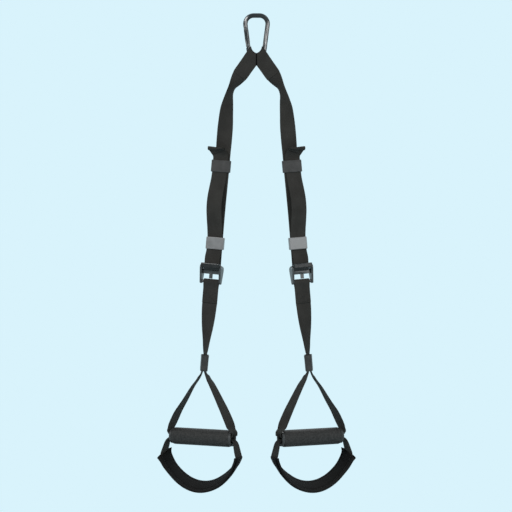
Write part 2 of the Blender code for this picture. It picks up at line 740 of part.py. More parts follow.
def buckle_frame(name, adjuster):
    """Two ears joined by the low bar, the middle bar and a crossbar with its centre tongue."""
    margin = EAR_MARGIN
    outline = hull_outline([
        (0, -LOW_BAR_DROP, LOW_BAR_RADIUS + margin),
        (MID_BAR_BACK, MID_BAR_RISE, MID_BAR_RADIUS + 2 * margin),
        (CAM_DEPTH, CAM_RISE, CAM_PIN_RADIUS + 2 * margin)])
    ears = []
    for end in (-1, 1):
        ear = plate(f"{name}_ear_{end}", outline, EAR_THICK, GREY_METAL)
        ear.data.transform(Matrix.Translation((end * (BUCKLE_HALF - EAR_THICK / 2), 0, 0)))
        ears.append(ear)
    frame, other = ears
    frame.name = name
    length = 2 * BUCKLE_HALF - EAR_THICK
    front = CROSSBAR_FRONT
    tongue_end = -LOW_BAR_DROP + LOW_BAR_RADIUS + WEB_THICK + 4 * GAP
    pieces = [
        other,
        cylinder(name + "_low_bar", LOW_BAR_RADIUS, length, (0, 0, -LOW_BAR_DROP), (1, 0, 0)),
        cylinder(name + "_mid_bar", MID_BAR_RADIUS, length, (0, MID_BAR_BACK, MID_BAR_RISE), (1, 0, 0)),
        box(name + "_crossbar", (length, CROSSBAR_THICK, CROSSBAR_HEIGHT),
            (0, front, CROSSBAR_HEIGHT / 2)),
        box(name + "_tongue",
            (POST_WIDTH, CROSSBAR_THICK * POST_THICK_SHARE, CROSSBAR_HEIGHT / 2 - tongue_end),
            (0, front, (CROSSBAR_HEIGHT / 2 + tongue_end) / 2)),
    ]
    hole = cylinder(name + "_pin_hole", CAM_PIN_RADIUS + GAP, length + 2 * OVERRUN, (0, CAM_DEPTH, CAM_RISE),
                    (1, 0, 0))
    for thing in (frame, *pieces, hole):
        attach(thing, adjuster)
    return cut(join(frame, *pieces), hole)


def cam_lever(name, side, adjuster, axis):
    """The cam that bites the tail, its arm and the rolled lip that the thumb presses."""
    half = BUCKLE_INSIDE - 2 * GAP
    length = 2 * half - CAM_SPRING_LENGTH
    shift = -side * CAM_SPRING_LENGTH / 2
    cam = cylinder(name, CAM_RADIUS, length, (shift, 0, 0), (1, 0, 0), BLACK_METAL, sides=CAM_SIDES)
    reach = CAM_PIN_RADIUS + 2 * EAR_MARGIN + LIP_THICK / 2 + 2 * GAP
    rise = LIP_RISE
    arm = box(name + "_arm", (length, reach, LIP_THICK), (shift, -reach / 2, rise))
    lip = box(name + "_lip", (2 * (BUCKLE_INSIDE + LIP_OVERHANG), LIP_THICK, LIP_HEIGHT), (0, -reach, rise))
    rounded(lip, LIP_THICK * LIP_ROUND_SHARE, 3)
    bore = cylinder(name + "_bore", CAM_PIN_RADIUS + GAP, length + 2 * OVERRUN, (0, 0, 0), (1, 0, 0))
    for thing in (cam, arm, lip, bore):
        attach(thing, axis)
    join(cam, arm, lip)
    cut(cam, bore)

    pin = cylinder(name.replace("lever", "pin"), CAM_PIN_RADIUS, 2 * BUCKLE_HALF + CAM_PIN_RADIUS,
                   (0, CAM_DEPTH, CAM_RISE), (1, 0, 0), STEEL, sides=PIN_SIDES)
    attach(pin, adjuster)
    pitch = (CAM_SPRING_LENGTH - 4 * CAM_SPRING_WIRE) / CAM_SPRING_CURLS
    points = helix(CAM_SPRING_RADIUS, pitch, CAM_SPRING_CURLS, CURL_POINTS, -pitch * CAM_SPRING_CURLS / 2)
    print("cam spring least gap", round(least_gap(points, CAM_SPRING_WIRE, CURL_POINTS), 5))
    spring = wire(name.replace("lever", "spring"), points, CAM_SPRING_WIRE, STEEL)
    outer = side * (half - CAM_SPRING_LENGTH / 2)
    spring.data.transform(Matrix.Translation((outer, CAM_DEPTH, CAM_RISE))
                          @ Matrix.Rotation(math.pi / 2, 4, "Y"))
    attach(spring, adjuster)


def lower_strap(name, side, axis):
    """The webbing looped on the low bar, sewn, then twisted down into the ferrule."""
    crown = LOW_BAR_RADIUS + 2 * GAP + WEB_THICK
    strap, inside = web_loop(name, LOW_BAR_RADIUS, crown, LOOP_JOIN, LOWER_SEAM, WEBBING)
    top = axis.matrix_world @ Vector((-side * LOWER_SHIFT, 0, -LOWER_SEAM + WEB_THICK))
    neck = ferrule_frame(side) @ Vector((0, 0, FERRULE_HEIGHT / 2))
    foot = ferrule_frame(side) @ Vector((0, 0, GAP))
    along = (neck - top).normalized()
    points, across = [], []
    for step in range(BAND_STEPS + 1):
        share = step / BAND_STEPS
        points.append(top.lerp(neck, share))
        across.append(across_at(side, along, RUN_YAW + (FERRULE_YAW - RUN_YAW) * share**TWIST_POWER))
    points.append(foot)
    across.append(across[-1])
    ribbon = band(name + "_ribbon", points, [WEB_WIDTH - 2 * GAP] * len(points), across, WEB_THICK, None)
    for thing in (strap, inside):
        thing.data.transform(Matrix.Translation((-side * LOWER_SHIFT, 0, 0)))
        attach(thing, axis)
    hold(ribbon, axis)
    return cut(join(strap, ribbon), inside)


def ferrule(name, side, axis):
    """The sleeve that gathers the webbing where it parts."""
    frame = ferrule_frame(side)
    inside = (WEB_WIDTH + 2 * KEEPER_SLACK, 2 * WEB_THICK + 2 * KEEPER_SLACK)
    body = box(name, (inside[0] + 2 * FERRULE_WALL, inside[1] + 2 * FERRULE_WALL, FERRULE_HEIGHT), (0, 0, 0),
               FERRULE_BLACK)
    rounded(body, FERRULE_WALL * WALL_ROUND_SHARE)
    hole = box(name + "_inside", (*inside, FERRULE_HEIGHT + OVERRUN), (0, 0, 0))
    for thing in (body, hole):
        thing.data.transform(frame)
        hold(thing, axis)
    return cut(body, hole)


def sling(name, side, axis):
    """The webbing from the ferrule down one limb, through the grip and up the other limb."""
    handle, gather = handle_frame(side), ferrule_frame(side)
    apex = handle.inverted() @ gather @ Vector((0, 0, -FERRULE_HEIGHT / 2))
    layer = WEB_THICK / 2 + GAP / 2
    limb = []
    for end in (1, -1):
        inward = end * layer
        inner_end = -side * end
        points = [(handle @ Vector((inner_end * GRIP_HALF * share, 0, WEB_SPLIT)), NECK_WIDTH)
                  for share in MOUTH_SHARES]
        for out, up in LIMB_SHARES:
            here = Vector((inner_end * GRIP_HALF * out, 0, apex.z * up))
            here.x += apex.x * up
            here.y += apex.y * up
            width = NECK_WIDTH + (WEB_WIDTH - NECK_WIDTH) * ease(up / NECK_SHARE)
            points.append((handle @ here, width))
        for depth in (FERRULE_HEIGHT / 2 + OVERRUN, FERRULE_HEIGHT / 2, FERRULE_HEIGHT / 4, GAP):
            points.append((gather @ Vector((0, inward, -depth)), WEB_WIDTH))
        limb.append([(*place, width) for place, width in points])
    stops = limb[0][::-1] + limb[1]
    path = spline_through(stops, STOP_STEPS * (len(stops) - 1))
    down = gather.to_3x3() @ Vector((-side, 0, 0))
    level = handle.to_3x3() @ Vector((0, -1, 0))
    across = []
    for stop in path:
        rise = (stop[2] + GRIP_DROP) / apex.z
        across.append(level.lerp(down, min(max(rise, 0), 1)**SLING_TURN_POWER))
    return hold(band(name, [stop[:3] for stop in path], [stop[3] for stop in path], across, WEB_THICK,
                     WEBBING), axis)


def ring(name, outer, inner, start, end, finish, axis):
    """A tube about X between two places."""
    length = end - start
    middle = ((start + end) / 2, 0, 0)
    tube = cylinder(name, outer, length, middle, (1, 0, 0), finish)
    bore = cylinder(name + "_bore", inner, length + OVERRUN, middle, (1, 0, 0))
    attach(bore, axis)
    return cut(attach(tube, axis), bore)


def grip(prefix, side, axis):
    """The foam grip on its tube, with a cap at each end."""
    inside = GRIP_HALF - CAP_LENGTH
    ring(prefix + "_grip_tube", TUBE_RADIUS, TUBE_BORE, 2 * GAP - GRIP_HALF, GRIP_HALF - 2 * GAP, PLASTIC,
         axis)
    ring(prefix + "_foam_grip", FOAM_RADIUS, TUBE_RADIUS + GAP, GAP - inside, inside - GAP, FOAM, axis)
    for label, end in (("inner", -side), ("outer", side)):
        near, far = sorted((end * inside, end * GRIP_HALF))
        cap = ring(f"{prefix}_{label}_end_cap", CAP_RADIUS, TUBE_RADIUS + GAP, near, far, PLASTIC, axis)
        rounded(cap, CAP_LENGTH * CAP_ROUND_SHARE, 1)


def cradle_point(side, turn):
    """A place on the cradle's middle line, turn counted from its lowest point."""
    drop = (CRADLE_DEPTH - CRADLE_TOP) * max(math.cos(turn), 0)**CRADLE_POINT
    return Vector((side * CRADLE_SHIFT + CRADLE_HALF * math.sin(turn), 0, -CRADLE_TOP - drop))


def foot_webbing(name, side, axis):
    """The webbing through the grip, down both sides and into the cradle's ends."""
    limb = []
    for end in (1, -1):
        mouth = Vector((GRIP_HALF, 0, -WEB_SPLIT))
        top = cradle_point(side, end * math.pi / 2)
        points = [(end * GRIP_HALF * share, 0, -WEB_SPLIT, NECK_WIDTH) for share in MOUTH_SHARES]
        for out, down in FOOT_SHARES:
            width = NECK_WIDTH + (FOOT_WEB_WIDTH - NECK_WIDTH) * ease(down)
            points.append((end * (mouth.x + (end * top.x - mouth.x) * out), 0,
                           mouth.z + (top.z - mouth.z) * down, width))
        points.append((*cradle_point(side, end * (math.pi / 2 - POCKET_TURN)), FOOT_WEB_WIDTH))
        limb.append(points)
    stops = limb[0][::-1] + limb[1]
    path = spline_through(stops, STOP_STEPS * (len(stops) - 1))
    return attach(band(name, [stop[:3] for stop in path], [stop[3] for stop in path],
                       [(0, 1, 0)] * len(path), WEB_THICK, WEBBING), axis)


def cushion_section(width, thick, edge):
    """A padded band's section: crowned faces drawn in to thin sewn edges."""
    half = []
    for step in range(CUSHION_STEPS + 1):
        across = 2 * step / CUSHION_STEPS - 1
        crown = edge + (thick - edge) * (1 - across**4)
        half.append((across * width / 2, crown / 2))
    return half + [(across, -rise) for across, rise in reversed(half)]


def foot_cradle(name, side, axis):
    """The padded band under the foot, with a pocket for the webbing in each end."""
    section = cushion_section(CRADLE_WIDTH, CRADLE_THICK, CRADLE_EDGE)
    rings = []
    turns = [-math.pi / 2 + math.pi * step / BAND_STEPS for step in range(BAND_STEPS + 1)]
    places = [cradle_point(side, turn) for turn in turns]
    for n, (turn, place) in enumerate(zip(turns, places)):
        along = (places[min(n + 1, BAND_STEPS)] - places[max(n - 1, 0)]).normalized()
        roll = CRADLE_ROLL * math.cos(turn)
        across = Matrix.Rotation(roll, 3, along) @ Vector((0, 1, 0))
        out = along.cross(across).normalized()
        skewed = across + side * CRADLE_SKEW * along
        rings.append([place + skewed * y + out * z for y, z in section])
    pad = loft(name, rings, PADDING)
    attach(pad, axis)
    for end in (1, -1):
        rim, tip = (cradle_point(side, end * turn) for turn in (math.pi / 2, math.pi / 2 - POCKET_TURN))
        depth = (rim - tip).length
        middle = (rim + tip) / 2
        lean = math.atan2(rim.x - tip.x, rim.z - tip.z)
        pocket = box(f"{name}_pocket_{end}", (WEB_THICK + 2 * POCKET_SLACK, FOOT_WEB_WIDTH + 4 * GAP,
                                              depth + 4 * GAP + OVERRUN), (0, 0, OVERRUN / 2))
        pocket.data.transform(Matrix.Translation(middle) @ Matrix.Rotation(lean, 4, "Y"))
        cut(pad, attach(pocket, axis))
    return pad


def strap_side(prefix, side):
    """Everything that hangs on one side of the carabiner."""
    lean = Matrix.Rotation(-side * EYE_LEAN, 4, "Y")
    eye_axis = empty(prefix + "_eye_axis", Matrix.Translation((0, 0, -BOW_DROP)) @ lean)
    strap_eye(prefix + "_strap_eye", side, eye_axis)
    start = eye_end(side, eye_axis)
    arm_axis = empty(prefix + "_arm_axis", Matrix.Translation(start), eye_axis)
    main_strap(prefix + "_main_strap", side, arm_axis, start)
    adjuster = empty(prefix + "_adjuster", run_frame(side, BUCKLE_DROP), arm_axis)
    strap_turn(prefix + "_strap_turn", adjuster)
    buckle_frame(prefix + "_buckle_frame", adjuster)
    cam_axis = empty(prefix + "_cam_axis",
                     adjuster.matrix_world @ Matrix.Translation((0, CAM_DEPTH, CAM_RISE)), adjuster)
    cam_lever(prefix + "_cam_lever", side, adjuster, cam_axis)
    tail_strap(prefix + "_tail_strap", side, adjuster)
    tail_tab(prefix + "_tail_tab", side, adjuster)
    sleeve(prefix + "_upper_keeper", UPPER_KEEPER_DROP, UPPER_KEEPER_HEIGHT, KEEPER_WALL, KEEPER_GREY,
           adjuster, side * TAIL_SHIFT)
    sleeve(prefix + "_lower_keeper", LOWER_KEEPER_DROP, LOWER_KEEPER_HEIGHT, LOWER_KEEPER_WALL, RUBBER_GREY,
           adjuster)
    low_axis = empty(prefix + "_low_axis", adjuster.matrix_world @ Matrix.Translation((0, 0, -LOW_BAR_DROP)),
                     adjuster)
    lower_strap(prefix + "_lower_strap", side, low_axis)
    ferrule(prefix + "_ferrule", side, low_axis)
    sling(prefix + "_sling", side, low_axis)
    grip_axis = empty(prefix + "_grip_axis", handle_frame(side), low_axis)
    grip(prefix, side, grip_axis)
    foot_webbing(prefix + "_foot_webbing", side, grip_axis)
    foot_cradle(prefix + "_foot_cradle", side, grip_axis)


carabiner()
for prefix, side in SIDES.items():
    strap_side(prefix, side)
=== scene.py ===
import math

import bmesh
import bpy
from mathutils import Matrix, Vector


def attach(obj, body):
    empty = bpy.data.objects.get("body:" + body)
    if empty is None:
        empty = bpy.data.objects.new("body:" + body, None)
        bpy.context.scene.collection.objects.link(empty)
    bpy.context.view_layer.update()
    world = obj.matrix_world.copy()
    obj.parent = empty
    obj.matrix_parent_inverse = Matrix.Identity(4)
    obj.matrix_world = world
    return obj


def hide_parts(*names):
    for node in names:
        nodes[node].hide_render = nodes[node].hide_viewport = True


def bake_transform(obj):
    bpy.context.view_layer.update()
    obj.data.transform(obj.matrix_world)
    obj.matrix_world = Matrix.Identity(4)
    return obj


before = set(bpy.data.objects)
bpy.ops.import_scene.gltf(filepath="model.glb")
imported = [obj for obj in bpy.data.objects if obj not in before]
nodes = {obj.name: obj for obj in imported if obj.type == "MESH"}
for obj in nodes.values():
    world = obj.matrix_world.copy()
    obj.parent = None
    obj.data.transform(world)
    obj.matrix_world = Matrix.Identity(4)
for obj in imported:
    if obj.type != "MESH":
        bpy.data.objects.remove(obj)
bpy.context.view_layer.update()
sides = {"left": 1, "right": -1}
bpy.ops.object.select_all(action="DESELECT")

# Camera: straight in front of the hanging straps at half their height, 3 m away.
# Two millimetres of the object fill one pixel of the 512 pixel frame.
camera_data = bpy.data.cameras.new("camera")
camera_data.sensor_width = 36
camera_data.lens = 105.5
camera_data.clip_end = 30
camera = bpy.data.objects.new("camera", camera_data)
camera.location = (-0.001, -3, -0.476)
camera.rotation_euler = (math.pi / 2, 0, 0)
bpy.context.collection.objects.link(camera)
bpy.context.scene.camera = camera
bpy.context.scene.view_settings.view_transform = "Standard"

# Studio: a pale floor well below the straps and an even pale blue surround.
# Two large soft lamps in front and a weaker one behind light the black webbing.
for name, place, size, power in (
        ("key_lamp", (-1.5, -2.2, 1.3), 0.9, 46), ("fill_lamp", (1.7, -2.4, 0.3), 1.0, 29),
        ("rim_lamp", (0.3, 1.9, 1.0), 1.2, 22)):
    lamp_data = bpy.data.lights.new(name, "AREA")
    lamp_data.size = size
    lamp_data.energy = power
    lamp = bpy.data.objects.new(name, lamp_data)
    lamp.location = place
    lamp.rotation_euler = (Vector((0, 0, -0.45)) - Vector(place)).to_track_quat("-Z", "Y").to_euler()
    bpy.context.collection.objects.link(lamp)


def add_node(owner, kind, *values, **settings):
    """A node with its settings; each value is a constant or a socket, in the inputs' order."""
    node = owner.nodes.new(kind)
    for label, value in settings.items():
        setattr(node, label, value)
    for index, value in enumerate(values):
        if value is None:
            continue
        if isinstance(value, bpy.types.NodeSocket):
            owner.links.new(value, node.inputs[index])
        else:
            node.inputs[index].default_value = value
    return node


def compute(owner, operation, *values):
    return add_node(owner, "ShaderNodeMath", *values, operation=operation).outputs[0]


pale_blue = (0.694, 0.896, 0.973, 1)
world = bpy.data.worlds.new("surround")
bpy.context.scene.world = world
world.use_nodes = True
tree = world.node_tree
tree.nodes.clear()
light_path = add_node(tree, "ShaderNodeLightPath")
seen = compute(tree, "MAXIMUM", light_path.outputs["Is Camera Ray"], light_path.outputs["Is Glossy Ray"])
soft_light = add_node(tree, "ShaderNodeBackground", (1, 0.985, 0.96, 1), 0.42)
surround = add_node(tree, "ShaderNodeBackground", pale_blue, 1)
both = add_node(tree, "ShaderNodeMixShader", seen, soft_light.outputs[0], surround.outputs[0])
add_node(tree, "ShaderNodeOutputWorld", both.outputs[0])

bpy.ops.mesh.primitive_circle_add(vertices=96, radius=1.8, fill_type="NGON", location=(0, 0, -1.32))
floor = bpy.context.object
floor.name = "floor"
floor_paint = bpy.data.materials.new("pale_floor")
floor_paint.use_nodes = True
floor_shader = floor_paint.node_tree.nodes["Principled BSDF"]
floor_shader.inputs["Base Color"].default_value = pale_blue
floor_shader.inputs["Roughness"].default_value = 0.9
floor_shader.inputs["Specular IOR Level"].default_value = 0.1
floor.data.materials.append(floor_paint)

# Carabiner: a bent black anodised aluminium bar with a straight sprung gate on its left limb.
# Light streaks along its two limbs are painted into its colour: painted highlights on the limbs.


def group_sockets(group, inputs, outputs):
    for label, value in inputs:
        socket = group.interface.new_socket(name=label, in_out="INPUT", socket_type="NodeSocketFloat")
        socket.default_value = value
    for label, kind in outputs:
        group.interface.new_socket(name=label, in_out="OUTPUT", socket_type=kind)
    return group.nodes.new("NodeGroupInput"), group.nodes.new("NodeGroupOutput")


def spread(owner, value, low, high, to_low, to_high):
    return add_node(owner, "ShaderNodeMapRange", value, low, high, to_low, to_high).outputs[0]


def blend_colour(owner, share, first, second):
    node = owner.nodes.new("ShaderNodeMix")
    node.data_type = "RGBA"
    owner.links.new(share, node.inputs["Factor"])
    for socket, value in (("A", first), ("B", second)):
        target = [s for s in node.inputs if s.name == socket and s.type == "RGBA"][0]
        if isinstance(value, bpy.types.NodeSocket):
            owner.links.new(value, target)
        else:
            target.default_value = (*value, 1)
    return [s for s in node.outputs if s.type == "RGBA"][0]


def recolour(owner, mask, colour):
    """Lays a colour over a finished material where the mask is white."""
    target = owner.nodes["Principled BSDF"].inputs["Base Color"]
    owner.links.new(blend_colour(owner, mask, target.links[0].from_socket, colour), target)


grain = bpy.data.node_groups.new("surface_grain", "ShaderNodeTree")
given, result = group_sockets(
    grain, [("Grain Size", 0.0006), ("Patch Size", 0.02)],
    [("Grain", "NodeSocketFloat"), ("Patches", "NodeSocketFloat")])
grain_place = add_node(grain, "ShaderNodeTexCoord").outputs["Object"]
for source, target, detail in (("Grain Size", "Grain", 3), ("Patch Size", "Patches", 4)):
    scale = compute(grain, "DIVIDE", 1.0, given.outputs[source])
    texture = add_node(grain, "ShaderNodeTexNoise", grain_place)
    grain.links.new(scale, texture.inputs["Scale"])
    texture.inputs["Detail"].default_value = detail
    grain.links.new(texture.outputs[0], result.inputs[target])


def new_finish(name, roughness, metallic, specular=0.5):
    """A material with its Principled shader, its roughness, metalness and specular level set."""
    paint = bpy.data.materials.new(name)
    paint.use_nodes = True
    owner = paint.node_tree
    shader = owner.nodes["Principled BSDF"]
    shader.inputs["Roughness"].default_value = roughness
    shader.inputs["Metallic"].default_value = metallic
    shader.inputs["Specular IOR Level"].default_value = specular
    return paint, owner, shader


def place_grain(owner, grain_size, patch_size):
    node = owner.nodes.new("ShaderNodeGroup")
    node.node_tree = grain
    node.inputs["Grain Size"].default_value = grain_size
    node.inputs["Patch Size"].default_value = patch_size
    return node.outputs["Grain"], node.outputs["Patches"]


def bump(owner, shader, height, strength, distance, before=None):
    node = owner.nodes.new("ShaderNodeBump")
    node.inputs["Strength"].default_value = strength
    node.inputs["Distance"].default_value = distance
    owner.links.new(height, node.inputs["Height"])
    if before is not None:
        owner.links.new(before, node.inputs["Normal"])
    owner.links.new(node.outputs["Normal"], shader.inputs["Normal"])
    return node.outputs["Normal"]


def grained(name, dark, light, roughness, metallic, grain_size, patch_size, strength, distance,
            rough_swing=0.08, specular=0.5):
    """A plain finish: two tones in soft patches, a fine grain and a roughness that wanders with them."""
    paint, owner, shader = new_finish(name, roughness, metallic, specular)
    fine, patches = place_grain(owner, grain_size, patch_size)
    share = spread(owner, patches, 0.35, 0.65, 0, 1)
    owner.links.new(blend_colour(owner, share, dark, light), shader.inputs["Base Color"])
    owner.links.new(spread(owner, patches, 0.3, 0.7, roughness - rough_swing, roughness + rough_swing),
                    shader.inputs["Roughness"])
    bump(owner, shader, fine, strength, distance)
    return paint


def soften(thing, width, segments=2, angle=30):
    """Rounds a CAD node's sharp edges a little and shades its curves smoothly."""
    weld = thing.modifiers.new("weld", "WELD")
    weld.merge_threshold = 0.00001
    if width:
        edge = thing.modifiers.new("edge", "BEVEL")
        edge.width = width
        edge.segments = segments
        edge.limit_method = "ANGLE"
        edge.angle_limit = math.radians(angle)
        edge.harden_normals = True


def repaint(node, paint):
    nodes[node].data.materials.clear()
    nodes[node].data.materials.append(paint)


black_anodised = grained("black_anodised", (0.006, 0.006, 0.006), (0.012, 0.012, 0.012), 0.2, 0,
                         0.0009, 0.014, 0.12, 0.0001, specular=0.42)
plated_steel = grained("zinc_plated_steel", (0.42, 0.42, 0.44), (0.58, 0.58, 0.59), 0.32, 1,
                       0.0005, 0.006, 0.1, 0.00005)
owner = black_anodised.node_tree
place = add_node(owner, "ShaderNodeTexCoord").outputs["Object"]
stretched_place = add_node(owner, "ShaderNodeMapping", place)
stretched_place.inputs["Scale"].default_value = (1, 1, 0.08)
texture = add_node(owner, "ShaderNodeTexNoise", stretched_place.outputs[0])
texture.inputs["Scale"].default_value = 520
texture.inputs["Detail"].default_value = 1
# Painted highlights: light grey streaks, stretched along the bar's height and kept to the two limbs, stand in
# for the limbs' highlights.
streaks = spread(owner, texture.outputs[0], 0.52, 0.6, 0, 1)
height = add_node(owner, "ShaderNodeSeparateXYZ", place).outputs["Z"]
limbs = compute(owner, "MULTIPLY", spread(owner, height, -0.062, -0.054, 0, 1),
                spread(owner, height, -0.018, -0.008, 1, 0))
painted_limb_highlights = compute(owner, "MULTIPLY", streaks, limbs)
recolour(owner, painted_limb_highlights, (0.19, 0.187, 0.182))
for node in ("carabiner_body", "carabiner_gate"):
    repaint(node, black_anodised)
dark_steel = grained("dark_steel", (0.1, 0.1, 0.1), (0.16, 0.16, 0.16), 0.3, 1, 0.0005, 0.006, 0.1, 0.00005)
for node in ("gate_rivet", "gate_latch_pin"):
    repaint(node, dark_steel)
for node in ("gate_plunger", "gate_spring"):
    repaint(node, plated_steel)

# Strap eyes: the doubled ends of the two straps, looped over the carabiner's bow and sewn flat.
# Black woven nylon webbing, 31 mm wide and 1.8 mm thick, box stitched. The loop's top follows the
# bent bar like a saddle, and the two loops press together in the middle.
web_width = 0.031
web_thick = 0.0018

weave = bpy.data.node_groups.new("webbing_weave", "ShaderNodeTree")
given, result = group_sockets(
    weave, [("Rib", 0.0012), ("Float", 0.0026)],
    [("Height", "NodeSocketFloat"), ("Tone", "NodeSocketFloat")])
cloth_place = add_node(weave, "ShaderNodeTexCoord").outputs["UV"]
apart = add_node(weave, "ShaderNodeSeparateXYZ", cloth_place)
across_ribs = compute(weave, "DIVIDE", apart.outputs[0], given.outputs["Rib"])
along_floats = compute(weave, "DIVIDE", apart.outputs[1], given.outputs["Float"])
rib_number = compute(weave, "FLOOR", across_ribs)
stagger = compute(weave, "FLOORED_MODULO", rib_number, 2.0)
shifted = compute(weave, "MULTIPLY_ADD", stagger, 0.5, along_floats)
rib_wave = compute(weave, "PINGPONG", across_ribs, 0.5)
float_wave = compute(weave, "PINGPONG", shifted, 0.5)
rib_round = spread(weave, rib_wave, 0, 0.32, 0, 1)
float_round = spread(weave, float_wave, 0, 0.2, 0.35, 1)
yarn = compute(weave, "MULTIPLY", rib_round, float_round)
weave.links.new(yarn, result.inputs["Height"])
weave.links.new(yarn, result.inputs["Tone"])


def woven(name, dark, light, rib, length, strength=0.5, distance=0.00022, roughness=0.8, specular=0.05):
    """Flat woven webbing or tape: staggered ribs of yarn, dark between them, with faint soft patches."""
    paint, owner, shader = new_finish(name, roughness, 0, specular)
    shader.inputs["Sheen Weight"].default_value = 0.008
    shader.inputs["Sheen Roughness"].default_value = 0.6
    cloth = owner.nodes.new("ShaderNodeGroup")
    cloth.node_tree = weave
    cloth.inputs["Rib"].default_value = rib
    cloth.inputs["Float"].default_value = length
    fine, patches = place_grain(owner, 0.0004, 0.03)
    lit = blend_colour(owner, cloth.outputs["Tone"], dark, light)
    worn = blend_colour(owner, spread(owner, patches, 0.4, 0.75, 0, 0.35), lit,
                        [value * 1.35 for value in light])
    owner.links.new(worn, shader.inputs["Base Color"])
    owner.links.new(spread(owner, fine, 0.3, 0.7, roughness - 0.07, roughness + 0.07),
                    shader.inputs["Roughness"])
    height = compute(owner, "MULTIPLY_ADD", fine, 0.25, cloth.outputs["Height"])
    bump(owner, shader, height, strength, distance)
    return paint


black_webbing = woven("black_webbing", (0.0115, 0.0112, 0.0105), (0.0385, 0.038, 0.0355), 0.0012, 0.0026)
black_thread = grained("black_thread", (0.014, 0.014, 0.014), (0.03, 0.03, 0.03), 0.5, 0,
                       0.0002, 0.004, 0.3, 0.00005)


def flowing(stops, count):
    """Smooth rows through stops of numbers, the first three of them the place; evenly spaced."""
    stops = [tuple(stop) for stop in stops]
    knots = [0]
    for one, two in zip(stops, stops[1:]):
        knots.append(knots[-1] + (Vector(two[:3]) - Vector(one[:3])).length)
    last = len(stops) - 1
    slopes = []
    for n in range(last + 1):
        low, high = max(n - 1, 0), min(n + 1, last)
        slopes.append([(b - a) / (knots[high] - knots[low]) for a, b in zip(stops[low], stops[high])])
    rows = []
    at = 0
    for step in range(count + 1):
        reach = knots[-1] * step / count
        while at < last - 1 and reach > knots[at + 1]:
            at += 1
        span = knots[at + 1] - knots[at]
        t = (reach - knots[at]) / span
        rise, fall = t * t * (3 - 2 * t), t * (1 - t)
        rows.append([a + (b - a) * rise + span * fall * ((1 - t) * sa - t * sb)
                     for a, b, sa, sb in zip(stops[at], stops[at + 1], slopes[at], slopes[at + 1])])
    return rows, knots[-1]


def lay_out(stops, side, width=web_width, spacing=0.0035):
    """Rows of a strip. A stop is place and width direction, then width, cup angle and lift if given."""
    full = [(*stop, *(width, 0, 0)[len(stop) - 6:]) for stop in stops]
    count = max(int(sum((Vector(b[:3]) - Vector(a[:3])).length for a, b in zip(full, full[1:])) / spacing), 2)
    numbers, length = flowing(full, count)
    rows = []
    for n, row in enumerate(numbers):
        before, after = numbers[max(n - 1, 0)], numbers[min(n + 1, count)]
        along = (Vector(after[:3]) - Vector(before[:3])).normalized()
        wide = Vector(row[3:6])
        wide = (wide - along * wide.dot(along)).normalized()
        out = along.cross(wide)
        mirror = mirrored(side).to_3x3()
        rows.append({"place": mirror @ Vector(row[:3]), "along": mirror @ along, "wide": mirror @ wide,
                     "out": mirror @ out, "width": row[6], "cup": row[7], "lift": row[8],
                     "reach": length * n / count})
    return rows


def across_row(row, share, saddle=None):
    """A point and normal on a row's middle sheet; share runs from -1 to 1 over its width."""
    half = row["width"] / 2
    if abs(row["cup"]) > 0.02:
        radius = half / row["cup"]
        angle = row["cup"] * share
        place = row["wide"] * radius * math.sin(angle) - row["out"] * radius * (1 - math.cos(angle))
        normal = row["out"] * math.cos(angle) + row["wide"] * math.sin(angle)
    else:
        place = row["wide"] * half * share
        normal = row["out"].copy()
    place = row["place"] + place
    if saddle:
        place += saddle(share * half) * row["lift"]
    return place, normal


def select_only(thing):
    bpy.ops.object.select_all(action="DESELECT")
    thing.select_set(True)
    bpy.context.view_layer.objects.active = thing


def mirrored(side, frame_of=None):
    """The mirror for one side, on its frame if that is given."""
    mirror = Matrix.Diagonal((side, 1, 1, 1))
    return mirror if frame_of is None else mirror @ frame_of


def apply_all(thing):
    select_only(thing)
    for modifier in list(thing.modifiers):
        bpy.ops.object.modifier_apply(modifier=modifier.name)


def thicken(thing, thick, offset=0):
    """Gives a sheet its wall."""
    wall = thing.modifiers.new("wall", "SOLIDIFY")
    wall.thickness = thick
    wall.offset = offset
    return wall


def round_edges(thing, width, angle=60):
    edge = thing.modifiers.new("edge", "BEVEL")
    edge.width = width
    edge.segments = 2
    edge.limit_method = "ANGLE"
    edge.angle_limit = math.radians(angle)


def make_outward(thing):
    select_only(thing)
    bpy.ops.object.mode_set(mode="EDIT")
    bpy.ops.mesh.select_all(action="SELECT")
    bpy.ops.mesh.normals_make_consistent(inside=False)
    bpy.ops.object.mode_set(mode="OBJECT")


def finish_piece(thing, name, paint, angle=40):
    thing.name = thing.data.name = name
    thing.data.materials.clear()
    thing.data.materials.append(paint)
    select_only(thing)
    bpy.ops.object.shade_smooth_by_angle(angle=math.radians(angle))
    thing.select_set(False)
    return thing


def webbing(name, rows, thick=web_thick, saddle=None, paint=None, trim=None, thread_width=8, edge=0.00045):
    """A strip of webbing on its rows: a grid laid on them, given its thickness and worn edges."""
    last = len(rows) - 1
    bpy.ops.mesh.primitive_grid_add(x_subdivisions=thread_width, y_subdivisions=last, size=2)
    strip = bpy.context.object
    cloth = strip.data
    grid = {}
    for vertex in cloth.vertices:
        share, row = vertex.co.x, rows[round((vertex.co.y + 1) / 2 * last)]
        grid[vertex.index] = ((share + 1) / 2 * web_width, row["reach"])
        vertex.co = across_row(row, share, saddle)[0]
    for loop in cloth.loops:
        cloth.uv_layers.active.data[loop.index].uv = grid[loop.vertex_index]
    thicken(strip, thick)
    apply_all(strip)
    if trim is not None:
        bpy.ops.object.mode_set(mode="EDIT")
        bpy.ops.mesh.select_all(action="SELECT")
        bpy.ops.mesh.bisect(plane_co=(trim * -0.00005, 0, 0), plane_no=(trim, 0, 0), use_fill=True,
                            clear_outer=False, clear_inner=True)
        bpy.ops.object.mode_set(mode="OBJECT")
    make_outward(strip)
    round_edges(strip, edge)
    apply_all(strip)
    return finish_piece(strip, name, paint or black_webbing, 50)


